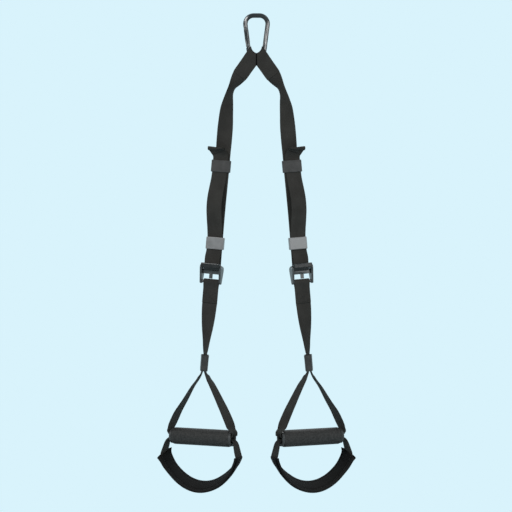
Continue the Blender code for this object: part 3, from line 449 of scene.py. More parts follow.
bpy.ops.mesh.primitive_cylinder_add(vertices=6, radius=0.0003, depth=0.0016, rotation=(0, math.pi / 2, 0))
stitch = bpy.context.object
bpy.ops.object.transform_apply(rotation=True)
bpy.ops.object.mode_set(mode="EDIT")
bpy.ops.mesh.select_all(action="DESELECT")
bpy.ops.object.mode_set(mode="OBJECT")
for face in stitch.data.polygons:
    face.select = abs(face.normal.x) > 0.9
bpy.ops.object.mode_set(mode="EDIT")
bpy.ops.mesh.extrude_faces_move()
bpy.ops.transform.resize(value=(1.45, 0.35, 0.35))
bpy.ops.object.mode_set(mode="OBJECT")
one_stitch = bmesh.new()
one_stitch.from_mesh(stitch.data)
stitch_points = [vertex.co.copy() for vertex in one_stitch.verts]
stitch_faces = [[vertex.index for vertex in face.verts] for face in one_stitch.faces]
one_stitch.free()
bpy.data.objects.remove(stitch)


def on_rows(rows, half_thick, saddle=None):
    """Where a point of the laid strip is: across in metres from its middle, and along from its start."""
    def locate(across, reach, face):
        step = min(max(reach / rows[-1]["reach"], 0), 1) * (len(rows) - 1)
        low = min(int(step), len(rows) - 2)
        part = step - low
        spots = []
        for row in (rows[low], rows[low + 1]):
            spots.append(across_row(row, across / (row["width"] / 2), saddle))
        place = spots[0][0].lerp(spots[1][0], part)
        normal = spots[0][1].lerp(spots[1][1], part).normalized() * face
        return place + normal * half_thick, normal
    return locate


def sew(name, locate, lines, faces=(1, -1), pitch=0.0029, paint=None):
    """Rows of thread stitches along lines of (across, along), on one or both faces of the cloth."""
    points, polygons = [], []
    for face in faces:
        for line in lines:
            for start, end in zip(line, line[1:]):
                start, end = Vector(start), Vector(end)
                count = max(round((end - start).length / pitch), 1)
                for n in range(count):
                    one = start.lerp(end, n / count)
                    two = start.lerp(end, (n + 1) / count)
                    middle = start.lerp(end, (n + 0.5) / count)
                    place, normal = locate(*middle, face)
                    along = (locate(*two, face)[0] - locate(*one, face)[0]).normalized()
                    turn = Matrix((along, normal.cross(along), normal)).transposed()
                    base = len(points)
                    points += [place + turn @ point for point in stitch_points]
                    polygons += [[base + index for index in corners] for corners in stitch_faces]
    cloth = bpy.data.meshes.new(name)
    cloth.from_pydata(points, [], polygons)
    seam = bpy.data.objects.new(name, cloth)
    bpy.context.collection.objects.link(seam)
    make_outward(seam)
    return finish_piece(seam, name, paint or black_thread, 70)


def box_and_cross(half, low, high):
    """A square of stitches with both its diagonals."""
    return [[(-half, low), (half, low), (half, high), (-half, high), (-half, low)],
            [(-half, low), (half, high)], [(half, low), (-half, high)]]


# Painted shade: a copy of the webbing whose colour goes nearly black within 0.9 to 1.7 mm of the middle,
# where the two eyes press together, stands in for the shadow in that crease.
crease_shade_webbing = black_webbing.copy()
crease_shade_webbing.name = "crease_shade_webbing"
owner = crease_shade_webbing.node_tree
place = add_node(owner, "ShaderNodeTexCoord").outputs["Object"]
across = add_node(owner, "ShaderNodeSeparateXYZ", place).outputs["X"]
aside = compute(owner, "ABSOLUTE", across)
recolour(owner, spread(owner, aside, 0.0009, 0.0017, 1, 0), (0.0008, 0.0008, 0.0008))
bow_radius = 0.0158
eye_offset = 0.0032
eye_length = 0.048
eye_turn = 0.0062
eye_straight = 0.022
eye_twist = math.radians(24)
eye_frame = Matrix.Translation((0, 0, -0.062)) @ Matrix.Rotation(math.radians(35.3), 4, "Y")
eye_up = eye_frame.to_3x3() @ Vector((0, 0, 1))
eye_path = [(web_thick / 2, -eye_length, 0), (web_thick / 2, -0.04, 0), (web_thick / 2, -0.032, 0),
            (web_thick / 2 + 0.0001, -0.0215, 0.12), (0.0022, -0.0155, 0.4), (0.0042, -0.0075, 0.8),
            (0.0059, -0.0008, 1)]
for degrees in (28, 59, 90):
    turn = math.radians(degrees)
    eye_path.append((eye_turn * math.cos(turn), 0.0012 + eye_turn * math.sin(turn), 1))
eye_path += [(-y, z, lift) for y, z, lift in eye_path[-2::-1]]
for prefix, side in sides.items():
    def saddle(across, side=side):
        out = min(abs(eye_offset + across), bow_radius * 0.86)
        rise = bow_radius - math.sqrt(bow_radius**2 - out**2)
        return mirrored(side).to_3x3() @ eye_up * rise
    stops = []
    for y, z, lift in eye_path:
        twist = eye_twist * min(max(-z - eye_straight, 0) / (eye_length - eye_straight), 1)**1.5
        place = eye_frame @ Vector((eye_offset - y * math.sin(twist), y * math.cos(twist), z - bow_radius))
        across = eye_frame.to_3x3() @ Vector((math.cos(twist), math.sin(twist), 0))
        stops.append((*place, *across, web_width, 0, lift))
    rows = lay_out(stops, side, spacing=0.0014)
    eye = webbing(prefix + "_eye_webbing", rows, saddle=saddle, paint=crease_shade_webbing, trim=-side,
                  thread_width=16, edge=0.0008)
    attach(eye, prefix + "_eye")
    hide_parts(prefix + "_strap_eye")
    seam = sew(prefix + "_eye_stitches", on_rows(rows, web_thick / 2, saddle),
               box_and_cross(0.0115, 0.0035, 0.0245), faces=(-1,))
    back_start = rows[-1]["reach"]
    back_seam = sew(prefix + "_eye_back_stitches", on_rows(rows, web_thick / 2, saddle),
                    box_and_cross(0.0115, back_start - 0.0245, back_start - 0.0035), faces=(-1,))
    for piece in (seam, back_seam):
        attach(piece, prefix + "_eye")

# Main straps: each leaves its eye, turns once over the first 12 cm and hangs straight to the buckle.
# The same webbing, in one length; it slides through the buckle when the strap is made longer.
run_lean = math.radians(4.95)
run_yaw = math.radians(-15)
run_out, run_drop = 0.0688, 0.264
buckle_drop = 0.512
strap_depth = 0.0095
bar_rise = 0.0093


def run_frame(drop):
    """On the straight run at a height below the origin, Z up the strap, X across it."""
    out = run_out + (drop - run_drop) * math.tan(run_lean)
    return (Matrix.Translation((-out, 0, -drop)) @ Matrix.Rotation(run_lean, 4, "Y")
            @ Matrix.Rotation(run_yaw, 4, "Z"))


def across_at(along, turn):
    """The width's direction: in the picture's plane, then turned forwards about the strap."""
    level = Vector((1, 0, 0))
    level = (level - along * level.dot(along)).normalized()
    forward = along.cross(level)
    if forward.y > 0:
        forward.negate()
    return level * math.cos(turn) + forward * math.sin(turn)


def framed(frame_of, points, across, *rest):
    """Stops in the world from local points, all with one width direction and the same rest."""
    return [(*(frame_of @ Vector(point)), *across, *rest) for point in points]


# The path is the CAD's: shares of the way from the eye's end to the straight run, out and down, and of
# the most turn. Where the webbing is laid otherwise, a bend gives its row: how far out, the width's
# direction and the cup.
adjuster_frame = run_frame(buckle_drop)
adjuster_across = adjuster_frame.to_3x3() @ Vector((1, 0, 0))
most_turn = math.radians(62)
twist_shares = [(0, 0, 0), (0.297, 0.09, -0.66), (0.595, 0.176, -1), (0.69, 0.318, -0.82),
                (0.77, 0.446, -0.57), (0.834, 0.568, -0.4), (0.897, 0.73, -0.1), (0.959, 0.892, 0.1)]
bends = {0: (None, (0.73, 0.44, -0.515), 0), 2: (0.0408, (0.55, 0.74, -0.385), 0.2),
         4: (0.0466, (0.36, 0.92, -0.18), 0.4), 6: (0.0516, (0.44, 0.897, -0.02), 0.4),
         8: (0.0552, (0.635, 0.772, -0.035), 0.3), 10: (0.0584, None, 0.2), 12: (None, None, 0.1),
         40: (0.0781, None, 0)}
main_rows = 56
eye_low = -bow_radius - eye_length
eye_end = eye_frame @ Vector((eye_offset, 0, eye_low - 0.0003))
run_start = run_frame(run_drop) @ Vector((0, strap_depth, 0))
run_end = adjuster_frame @ Vector((0, strap_depth, bar_rise))
main_path = [(eye_end.x + (run_start.x - eye_end.x) * out, run_start.y * down,
              eye_end.z + (run_start.z - eye_end.z) * down, most_turn * share)
             for out, down, share in twist_shares]
main_path += [(*run_start.lerp(run_end, step / 4), -run_yaw) for step in range(5)]
main_path = flowing(main_path, main_rows)[0]
eye_across = eye_frame.to_3x3() @ Vector((math.cos(eye_twist), math.sin(eye_twist), 0))
main_stops = framed(eye_frame, [(eye_offset, 0, eye_low + 0.0022)], eye_across)
for row in [*range(0, 30, 2), 40, main_rows]:
    *place, turn = main_path[row]
    before, after = main_path[max(row - 1, 0)], main_path[min(row + 1, main_rows)]
    out, across, cup = bends.get(row, (None, None, 0))
    if out:
        place[0] = -out
    if not across:
        across = across_at((Vector(after[:3]) - Vector(before[:3])).normalized(), turn)
    main_stops.append((*place, *across, web_width, cup))
for prefix, side in sides.items():
    strap = webbing(prefix + "_main_webbing", lay_out(main_stops, side))
    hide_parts(prefix + "_main_strap")
    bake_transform(strap)

# Strap turn and tail: each strap goes down behind the buckle's middle bar, turns under it and comes
# up in front, under the cam, as the tail that adjusts the length. It bows forwards between the keepers.


def turned(centre, radius, start, end, steps):
    """Points of a turn in a frame's YZ plane, angles in degrees."""
    angles = [math.radians(start + (end - start) * step / steps) for step in range(steps + 1)]
    return [(0, centre[0] + radius * math.cos(angle), centre[1] + radius * math.sin(angle))
            for angle in angles]


def smooth_step(value):
    value = min(max(value, 0), 1)
    return value * value * (3 - 2 * value)


# The tail leaves the buckle's middle bar, lies on the strap at both keepers and bows forwards between.
# It also sways outwards: how far, at every 11.8 mm of its height.
tail_start, tail_step, tail_end = 0.0093, 0.01179, 0.2165
bar_depth, tail_depth, tail_bulge = 0.0005, 0.0071, 0.011
cam_top, keeper_top = 0.019, 0.0497
bow_low, bow_high = 0.0743, 0.2048
tail_aside = (0, 0.8, 1.9, 1.4, 0.5, 0.8, 1.8, 2.8, 3.8, 4.6, 5.3, 5.6, 5.7, 5.4, 4.9, 4.2, 3.7, 3.5)
tail_points = []
for number, aside in enumerate(tail_aside):
    height = tail_start + number * tail_step
    share = min(max((height - bow_low) / (bow_high - bow_low), 0), 1)
    rise = smooth_step((height - cam_top) / (keeper_top - cam_top))
    depth = bar_depth + (tail_depth - bar_depth) * rise - tail_bulge * math.sin(math.pi * share)**2
    tail_points.append((-aside / 1000, depth, height))
tail_points.append((-tail_aside[-1] / 1000, tail_depth, tail_end))
turn_points = turned((0.005, 0.009), 0.0045, 0, -180, 12)
for prefix, side in sides.items():
    rows = lay_out(framed(adjuster_frame, turn_points, adjuster_across), side, spacing=0.0009)
    turn = webbing(prefix + "_turn_webbing", rows)
    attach(turn, prefix + "_adjuster")
    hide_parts(prefix + "_strap_turn")
    rows = lay_out(framed(adjuster_frame, tail_points, adjuster_across), side)
    tail = webbing(prefix + "_tail_webbing", rows)
    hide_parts(prefix + "_tail_strap")
    low, high = adjuster_frame @ Vector((0, 0.0071, 0.08)), adjuster_frame @ Vector((0, 0.0071, 0.198))
    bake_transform(tail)

# Tail tabs: each tail's end is folded back twice on itself and sewn across, and it springs forwards
# and out from the strap. Three layers of the same webbing, 5.2 mm thick at the fold.
pressed = 0.0017
tab_layer = 0.00176
tab_bend = 0.0215 / math.sin(math.radians(75))
tab_centre = (tail_depth - tab_bend, 0.23006)
tab_fold = 70.5


def on_tab(degrees, lift):
    """A point on the bent tab, lifted from its middle sheet; the tab slants out as it rises."""
    angle = math.radians(degrees)
    slant = 0.0035 + 0.009 * smooth_step(degrees / 75 - 0.125)
    radius = tab_bend + lift
    return (-slant, tab_centre[0] + radius * math.cos(angle), tab_centre[1] + radius * math.sin(angle))


tab_points = [(-0.0035, 0.0071, 0.2167), (-0.0035, 0.0071, 0.2225)]
tab_points += [on_tab(degrees, tab_layer * smooth_step((degrees - 36) / 18)) for degrees in range(0, 70, 6)]
for degrees in range(0, 181, 30):
    turn = math.radians(degrees)
    tab_points.append(on_tab(tab_fold + math.degrees(tab_layer / tab_bend * math.sin(turn)),
                             tab_layer * math.cos(turn)))
tab_points += [on_tab(degrees, -tab_layer) for degrees in (66, 60, 54, 48, 44.5)]
filler_points = [on_tab(degrees, 0) for degrees in (47, 53, 59, 65, tab_fold)]
for prefix, side in sides.items():
    rows = lay_out(framed(adjuster_frame, tab_points, adjuster_across), side, spacing=0.0011)
    tab = webbing(prefix + "_tab_webbing", rows, thick=pressed)
    filler_rows = lay_out(framed(adjuster_frame, filler_points, adjuster_across, 0.0306), side, spacing=0.002)
    filler = webbing(prefix + "_tab_filler", filler_rows, thick=0.0016)
    reach = rows[-1]["reach"]
    lines = [[(-0.0133, back), (0.0133, back)] for back in (reach - 0.0035, reach - 0.0075)]
    under = sew(prefix + "_tab_stitches", on_rows(rows, pressed / 2), lines, faces=(1,))
    lines = [[(-0.0133, along), (0.0133, along)] for along in (reach - 0.0215, reach - 0.0175)]
    over = sew(prefix + "_tab_top_stitches", on_rows(rows, pressed / 2), lines, faces=(1,))
    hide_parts(prefix + "_tail_tab")
    for piece in (tab, filler, under, over):
        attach(piece, prefix + "_tail")

# Keepers: each strap has a matt upper sleeve that travels with the tail and a glossy lower one that
# slides. Moulded rubber, 1.6 and 2.2 mm thick, 24 mm high, with rounded rims.
matt_rubber = grained("matt_grey_rubber", (0.045, 0.045, 0.045), (0.063, 0.063, 0.063), 0.72, 0,
                      0.00035, 0.012, 0.5, 0.00012, specular=0.12)
glossy_rubber = grained("glossy_grey_rubber", (0.15, 0.15, 0.152), (0.185, 0.185, 0.188), 0.34, 0,
                        0.0012, 0.02, 0.12, 0.0001)
for prefix in sides:
    for node, paint in (("upper_keeper", matt_rubber), ("lower_keeper", glossy_rubber)):
        repaint(f"{prefix}_{node}", paint)
        soften(nodes[f"{prefix}_{node}"], 0.0004)

# Cam buckles: a cast frame with two ears, a middle and a low bar and a post, and a sprung cam lever
# with a rolled lip. Satin dark grey metal, 45 mm wide over its ears; pin and spring plain steel.
satin_grey = grained("satin_grey_metal", (0.05, 0.049, 0.048), (0.075, 0.073, 0.072), 0.34, 0.8,
                     0.0007, 0.01, 0.25, 0.0001)
lever_black = grained("lever_dark_grey", (0.013, 0.0127, 0.0124), (0.022, 0.0215, 0.021), 0.3, 0.6,
                      0.0007, 0.01, 0.2, 0.0001)
for prefix in sides:
    repaint(prefix + "_buckle_frame", satin_grey)
    repaint(prefix + "_cam_lever", lever_black)
    soften(nodes[prefix + "_buckle_frame"], 0.0005)
    soften(nodes[prefix + "_cam_lever"], 0.0003)
    for node in ("cam_pin", "cam_spring"):
        repaint(f"{prefix}_{node}", plated_steel)

# Lower straps: webbing looped up round the buckle's low bar and sewn, then turned nearly edge on
# down to the ferrule. The sewn end shows on the front, 40 mm under the bar, with a box of stitches.
low_bar_drop = 0.015
low_frame = adjuster_frame @ Matrix.Translation((0, 0, -low_bar_drop))
low_shift = 0.0015
low_points = [(0, -0.0009, -0.0426), (0, -0.0009, -0.032), (0, -0.0009, -0.019), (0, -0.0011, -0.0135),
              (0, -0.0024, -0.0079), (0, -0.0041, -0.0025)]
low_points += turned((0, 0), 0.0045, 195, -15, 12)[1:]
low_points += [(0, 0.0041, -0.0025), (0, 0.0024, -0.0079), (0, 0.0011, -0.0135), (0, 0.0009, -0.019),
               (0, 0.0009, -0.032), (0, 0.00085, -0.0426)]
ferrule_turn = math.radians(87)
gather_frame = (Matrix.Translation((-0.1042, 0, -0.6895)) @ Matrix.Rotation(run_lean, 4, "Y")
                @ Matrix.Rotation(-ferrule_turn, 4, "Z"))
low_top = low_frame @ Vector((low_shift, 0, -0.0408))
low_neck = gather_frame @ Vector((0, 0, 0.016))
low_along = (low_neck - low_top).normalized()
low_rows, low_power = 28, 1.25
low_bends = {21: 63.5, 24: 68.9, 27: 76.1}
low_ends = []
for row in range(3, low_rows, 3):
    share = row / low_rows
    turn = -run_yaw + (ferrule_turn + run_yaw) * share**low_power
    if row in low_bends:
        turn = math.radians(low_bends[row])
    low_ends.append((*low_top.lerp(low_neck, share), *across_at(low_along, turn)))
for rise, degrees in ((0.015, 80.2), (0.0092, 86.3), (0.0003, 87)):
    low_ends += framed(gather_frame, [(0, 0, rise)], across_at(low_along, math.radians(degrees)))
for prefix, side in sides.items():
    stops = framed(low_frame, [(low_shift + x, y, z) for x, y, z in low_points], adjuster_across) + low_ends
    rows = lay_out(stops, side, spacing=0.0012)
    strap = webbing(prefix + "_lower_webbing", rows, thick=pressed)
    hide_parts(prefix + "_lower_strap")
    seam = sew(prefix + "_lower_stitches", on_rows(rows, pressed / 2), box_and_cross(0.0118, 0.003, 0.0215),
               faces=(-1,))
    for piece in (strap, seam):
        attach(piece, prefix + "_lower")

# Ferrules: the moulded sleeves that gather each lower strap and the two sides of its sling.
# Matt near black rubber, 32 mm high, standing nearly edge on to the viewer.
ferrule_rubber = grained("ferrule_rubber", (0.026, 0.0255, 0.025), (0.038, 0.0374, 0.0366), 0.4, 0,
                         0.0005, 0.01, 0.35, 0.0001, specular=0.2)
# Its wall from the top lip down outside and up inside: height, half width, half thickness.
ferrule_wall = [(0.0158, 0.0192, 0.0069), (0.0161, 0.0197, 0.0074), (0.0157, 0.0201, 0.0079),
                (0.0146, 0.0202, 0.0081), (0.0132, 0.0201, 0.0079), (0.004, 0.0199, 0.0077),
                (-0.006, 0.0199, 0.0077), (-0.0135, 0.0199, 0.0076), (-0.0152, 0.0198, 0.0074),
                (-0.0159, 0.0194, 0.007), (-0.016, 0.0188, 0.0064), (-0.0153, 0.0178, 0.0057),
                (-0.0125, 0.0166, 0.004), (-0.008, 0.0159, 0.0022), (0.007, 0.0159, 0.0022),
                (0.0105, 0.0165, 0.0034), (0.0145, 0.0182, 0.0059)]
for prefix, side in sides.items():
    around = 48
    bpy.ops.mesh.primitive_torus_add(major_segments=around, minor_segments=len(ferrule_wall))
    sleeve = bpy.context.object
    stance = mirrored(side, gather_frame)
    for vertex in sleeve.data.vertices:
        rise, wide, thick = ferrule_wall[vertex.index % len(ferrule_wall)]
        angle = 2 * math.pi * (vertex.index // len(ferrule_wall) + 0.5) / around
        corner = 5 if wide > 0.0185 else 9
        x, y = math.cos(angle), math.sin(angle)
        reach = (abs(x)**corner + abs(y)**corner)**(-1 / corner)
        vertex.co = stance @ Vector((x * reach * wide, y * reach * thick, rise))
    make_outward(sleeve)
    round_off = sleeve.modifiers.new("round_off", "SUBSURF")
    round_off.levels = round_off.render_levels = 1
    apply_all(sleeve)
    finish_piece(sleeve, prefix + "_gather_sleeve", ferrule_rubber, 60)
    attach(sleeve, prefix + "_lower")
    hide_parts(prefix + "_ferrule")

# Slings: each is one webbing from the ferrule down one side, through the grip's tube and up the other
# side. It lies nearly edge to the viewer, and in the 20 mm bore it is rolled round like a gutter.
handle_frame = Matrix.Translation((-0.1084, 0, -0.838)) @ Matrix.Rotation(math.radians(-25), 4, "Z")
handle_away = handle_frame.to_3x3() @ Vector((0, -1, 0))
sling_top = handle_frame.inverted() @ gather_frame @ Vector((0, 0, -0.016))
gather_across = gather_frame.to_3x3() @ Vector((1, 0, 0))
# Each limb's stops from the ferrule down: half the spread, height above the grip, the width's turn,
# width and cup. The inner limb is turned further from the viewer than the outer one.
outer_limb = [(0.0064, 0.1262, -6, 0.031, 0), (0.0122, 0.1157, -9, 0.031, 0), (0.0238, 0.1002, -12, 0.031, 0),
              (0.04, 0.0734, -19, 0.031, 0), (0.0546, 0.0502, -26, 0.031, 0.03),
              (0.0633, 0.0323, -28, 0.031, 0.05), (0.0681, 0.0212, -27, 0.0302, 0.08)]
inner_limb = [(0.0068, 0.1262, -7.5, 0.031, 0), (0.0122, 0.1157, -13, 0.031, 0),
              (0.0181, 0.107, -18, 0.031, 0), (0.0325, 0.0822, -24, 0.031, 0),
              (0.0471, 0.0555, -30, 0.031, 0.03), (0.0595, 0.0305, -32, 0.031, 0.05),
              (0.0632, 0.0212, -30, 0.0295, 0.08)]
outer_mouth = [(0.0691, 0.0172, 0.029, 0.1), (0.0695, 0.0146, 0.0278, 0.2), (0.0696, 0.0121, 0.0266, 0.5)]
inner_mouth = [(0.0662, 0.0178, 0.0265, 0.08), (0.0684, 0.015, 0.0248, 0.15), (0.0694, 0.0122, 0.0242, 0.4)]
bore_run = [(0.0686, 0.0099, 0.0252, 1), (0.067, 0.009, 0.0248, 1.3), (0.0645, 0.0088, 0.0245, 1.41),
            (0.045, 0.0087, 0.0245, 1.41), (0.02, 0.0087, 0.0245, 1.41)]


def sling_limb(end, limb, mouth):
    """Stops of one side, from the ferrule's middle down to the middle of the grip."""
    stops = framed(gather_frame, [(0, end * 0.00105, depth) for depth in (-0.001, -0.008)],
                   gather_across, web_width, 0)
    stops += framed(gather_frame, [(0, end * 0.0019, -0.0122), (0, end * 0.0037, -0.0162)], gather_across,
                    web_width, 0)
    for out, rise, yaw, width, cup in limb:
        up = rise / sling_top.z
        across = Vector((math.sin(math.radians(yaw)), -math.cos(math.radians(yaw)), 0))
        stops += framed(handle_frame, [(end * out + sling_top.x * up, sling_top.y * up, rise)], across,
                        width, cup)
    for x, z, width, cup in mouth + bore_run:
        stops += framed(handle_frame, [(end * x, 0, z)], handle_away, width, cup)
    return stops


for prefix, side in sides.items():
    stops = sling_limb(1, inner_limb, inner_mouth) + sling_limb(-1, outer_limb, outer_mouth)[::-1]
    rows = lay_out(stops, side, spacing=0.0022)
    sling = webbing(prefix + "_sling_webbing", rows, thick=pressed, thread_width=12)
    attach(sling, prefix + "_lower")
    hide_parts(prefix + "_sling")

# Grips: a closed-cell foam sleeve 29 mm thick on a plastic tube, between two moulded end caps.
# The foam's skin is matt and finely speckled; it is a little rounded where it meets the caps.
foam_skin = grained("closed_cell_foam", (0.021, 0.0208, 0.0204), (0.04, 0.0396, 0.0388), 0.62, 0,
                    0.0009, 0.0035, 0.7, 0.0003, specular=0.14)
cap_plastic = grained("moulded_cap_plastic", (0.03, 0.03, 0.03), (0.044, 0.044, 0.044), 0.34, 0,
                      0.0006, 0.008, 0.25, 0.0001, specular=0.3)
tube_plastic = grained("tube_plastic", (0.022, 0.022, 0.022), (0.035, 0.035, 0.035), 0.45, 0,
                       0.0006, 0.01, 0.25, 0.0001)
foam_profile = [(0.0000, 0.0119), (0.0002, 0.0131), (0.0008, 0.0139), (0.0018, 0.01435), (0.0034, 0.01455),
                (0.009, 0.0146), (0.03, 0.0146), (0.0625, 0.0146)]
for prefix, side in sides.items():
    outline = [(-0.0627 + x, radius) for x, radius in foam_profile]
    outline += [(-x, radius) for x, radius in outline[-2::-1]]
    foam_mesh = bpy.data.meshes.new("foam_outline")
    foam_mesh.from_pydata([(x, 0, radius) for x, radius in outline],
                          [(n, n + 1) for n in range(len(outline) - 1)], [])
    foam = bpy.data.objects.new("foam_outline", foam_mesh)
    bpy.context.collection.objects.link(foam)
    spin = foam.modifiers.new("spin", "SCREW")
    spin.axis = "X"
    spin.steps = spin.render_steps = 48
    spin.use_merge_vertices = True
    spin.merge_threshold = 0.00001
    thicken(foam, 0.0022, -1)
    apply_all(foam)
    foam.data.transform(mirrored(side, handle_frame))
    make_outward(foam)
    finish_piece(foam, prefix + "_foam_skin", foam_skin, 40)
    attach(foam, prefix + "_grip")
    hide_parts(prefix + "_foam_grip")
    repaint(prefix + "_grip_tube", tube_plastic)
    for node in ("inner_end_cap", "outer_end_cap"):
        repaint(f"{prefix}_{node}", cap_plastic)
        soften(nodes[f"{prefix}_{node}"], 0.0003)

# Foot webbing: from the grip's tube down both sides and in between the layers of the foot cradle,
# 28 mm wide and sewn in at both ends. It lies under the sling in the bore, so the foot loop can swing.
cradle_half = 0.084
cradle_top = -0.036
cradle_drop = 0.064
cradle_shift = -0.003
# The direction of the cradle's far edge along it, from the outer end to the inner one, as the foot's
# weight has pulled it: turn in degrees, then the direction in the handle's own frame.
cradle_leans = [(-90, 0.1, 0.95, 0.33), (-70, -0.08, 0.95, 0.3), (-45, -0.18, 0.93, 0.29),
                (0, -0.21, 0.92, 0.3), (30, -0.24, 0.91, 0.3), (52, -0.25, 0.93, 0.23),
                (72, -0.25, 0.96, 0.1), (90, -0.22, 0.97, -0.02)]


def cradle_stop(turn):
    """A place on the cradle's middle line, the turn counted in radians from its lowest point."""
    drop = cradle_drop * max(math.cos(turn), 0)**1.6
    return Vector((cradle_shift + cradle_half * math.sin(turn), 0, cradle_top - drop))


def cradle_lean(degrees):
    """The direction from the cradle's middle line to its far edge."""
    for one, two in zip(cradle_leans, cradle_leans[1:]):
        if degrees <= two[0] or two is cradle_leans[-1]:
            share = smooth_step((degrees - one[0]) / (two[0] - one[0]))
            return Vector(one[1:]).lerp(Vector(two[1:]), share)


foot_run = [(out, -0.0062, 0.0167, 1.35) for out in (0.0645, 0.045, 0.02)]
outer_drop = [(0.0838, -0.029, 0.0275, 0.1), (0.0797, -0.0205, 0.0255, 0.3), (0.0762, -0.0135, 0.0225, 0.6),
              (0.0726, -0.0087, 0.0188, 1), (0.0688, -0.0067, 0.0168, 1.3)]
inner_drop = [(0.0784, -0.0285, 0.0278, 0.05), (0.0757, -0.0205, 0.0262, 0.18),
              (0.0732, -0.0138, 0.0242, 0.4), (0.0708, -0.0094, 0.0205, 0.85),
              (0.0686, -0.0069, 0.0172, 1.28)]
for prefix, side in sides.items():
    stops = []
    for end, drop in ((1, inner_drop), (-1, outer_drop)):
        limb = []
        for degrees in (36, 46, 56, 66, 76, 86):
            lean = cradle_lean(end * degrees).lerp(Vector((0, 1, 0)), smooth_step(degrees / 30 - 2))
            away = handle_frame.to_3x3() @ lean
            spot = cradle_stop(end * math.radians(degrees))
            limb += framed(handle_frame, [spot], away, 0.028, 0)
        limb += [stop for x, z, width, cup in drop + foot_run
                 for stop in framed(handle_frame, [(end * x, 0, z)], -handle_away, width, cup)]
        stops += limb[::end]
    rows = lay_out(stops, side, spacing=0.0026)
    strap = webbing(prefix + "_foot_loop_webbing", rows, thick=pressed, thread_width=12)
    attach(strap, prefix + "_foot")
    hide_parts(prefix + "_foot_webbing")

# Foot cradles: a soft padded band 50 mm wide that hangs under each grip and holds the foot. Thin foam
# quilted between black webbing cloth, bound along its long edges, with a second layer of cloth outside.
# The foot webbing is sewn in between the layers at both ends, and the inner end stands a little open.
cradle_rows = 72
cradle_girth = 0.255
cradle_frames = []
for step in range(cradle_rows + 1):
    turn = math.pi * (step / cradle_rows - 0.5)
    along = (cradle_stop(turn + 0.02) - cradle_stop(turn - 0.02)).normalized()
    far = cradle_lean(math.degrees(turn))
    cradle_frames.append((cradle_stop(turn), far, along.cross(far).normalized()))


def on_cradle(step, across, lift):
    """A point of the band: row number, metres across from its middle, and lift towards the foot."""
    low = min(max(int(step), 0), cradle_rows - 1)
    spots = [place + far * across + up * lift for place, far, up in cradle_frames[low:low + 2]]
    return spots[0].lerp(spots[1], step - low)


def parting(step):
    """How far open the layers are, from 0 to 1, round the sewn-in webbing near the two ends."""
    degrees = 180 * (step / cradle_rows - 0.5)
    return max(smooth_step((degrees - 50) / 26), smooth_step((-62 - degrees) / 20))


def pad_lift(step):
    return 0.0006 + 0.0018 * parting(step)


def outer_lift(step):
    degrees = 180 * (step / cradle_rows - 0.5)
    loose = smooth_step((degrees - 8) / 40) * smooth_step((100 - degrees) / 40)
    return -0.0034 - 0.0014 * loose


def cradle_cloth(name, side, half, across_steps, start, stop, steps, lift_of, wrap=0):
    """A grid laid on the band, its rims wrapped up a little, with its own map in metres."""
    bpy.ops.mesh.primitive_grid_add(x_subdivisions=across_steps, y_subdivisions=steps, size=2)
    cloth = bpy.context.object
    cloth.name = name
    stance = mirrored(side, handle_frame)
    spots = {}
    for vertex in cloth.data.vertices:
        share, run = vertex.co.x, (vertex.co.y + 1) / 2
        step = start + (stop - start) * run
        spots[vertex.index] = (share, run)
        vertex.co = stance @ on_cradle(step, share * half, lift_of(step) + wrap * share**4)
    length = cradle_girth * (stop - start) / cradle_rows
    for loop in cloth.data.loops:
        share, run = spots[loop.vertex_index]
        cloth.data.uv_layers.active.data[loop.index].uv = ((share + 1) * half, run * length)
    return cloth, spots


def cradle_sewing(name, side, lines, lift_of, paint):
    """Rows of stitches on the band along lines of (across, row number), all pointing along the line."""
    stance = mirrored(side, handle_frame)

    def locate(across, reach, face):
        step = reach * cradle_rows / cradle_girth
        low = min(max(int(step), 0), cradle_rows - 1)
        normal = (stance.to_3x3() @ cradle_frames[low][2]).normalized() * face
        return stance @ on_cradle(step, across, lift_of(step, across)), normal
    lines = [[(across, step * cradle_girth / cradle_rows) for across, step in line] for line in lines]
    face = 1 if lift_of(cradle_rows / 2, 0) > 0 else -1
    return sew(name, locate, lines, faces=(face,), pitch=0.0032, paint=paint)


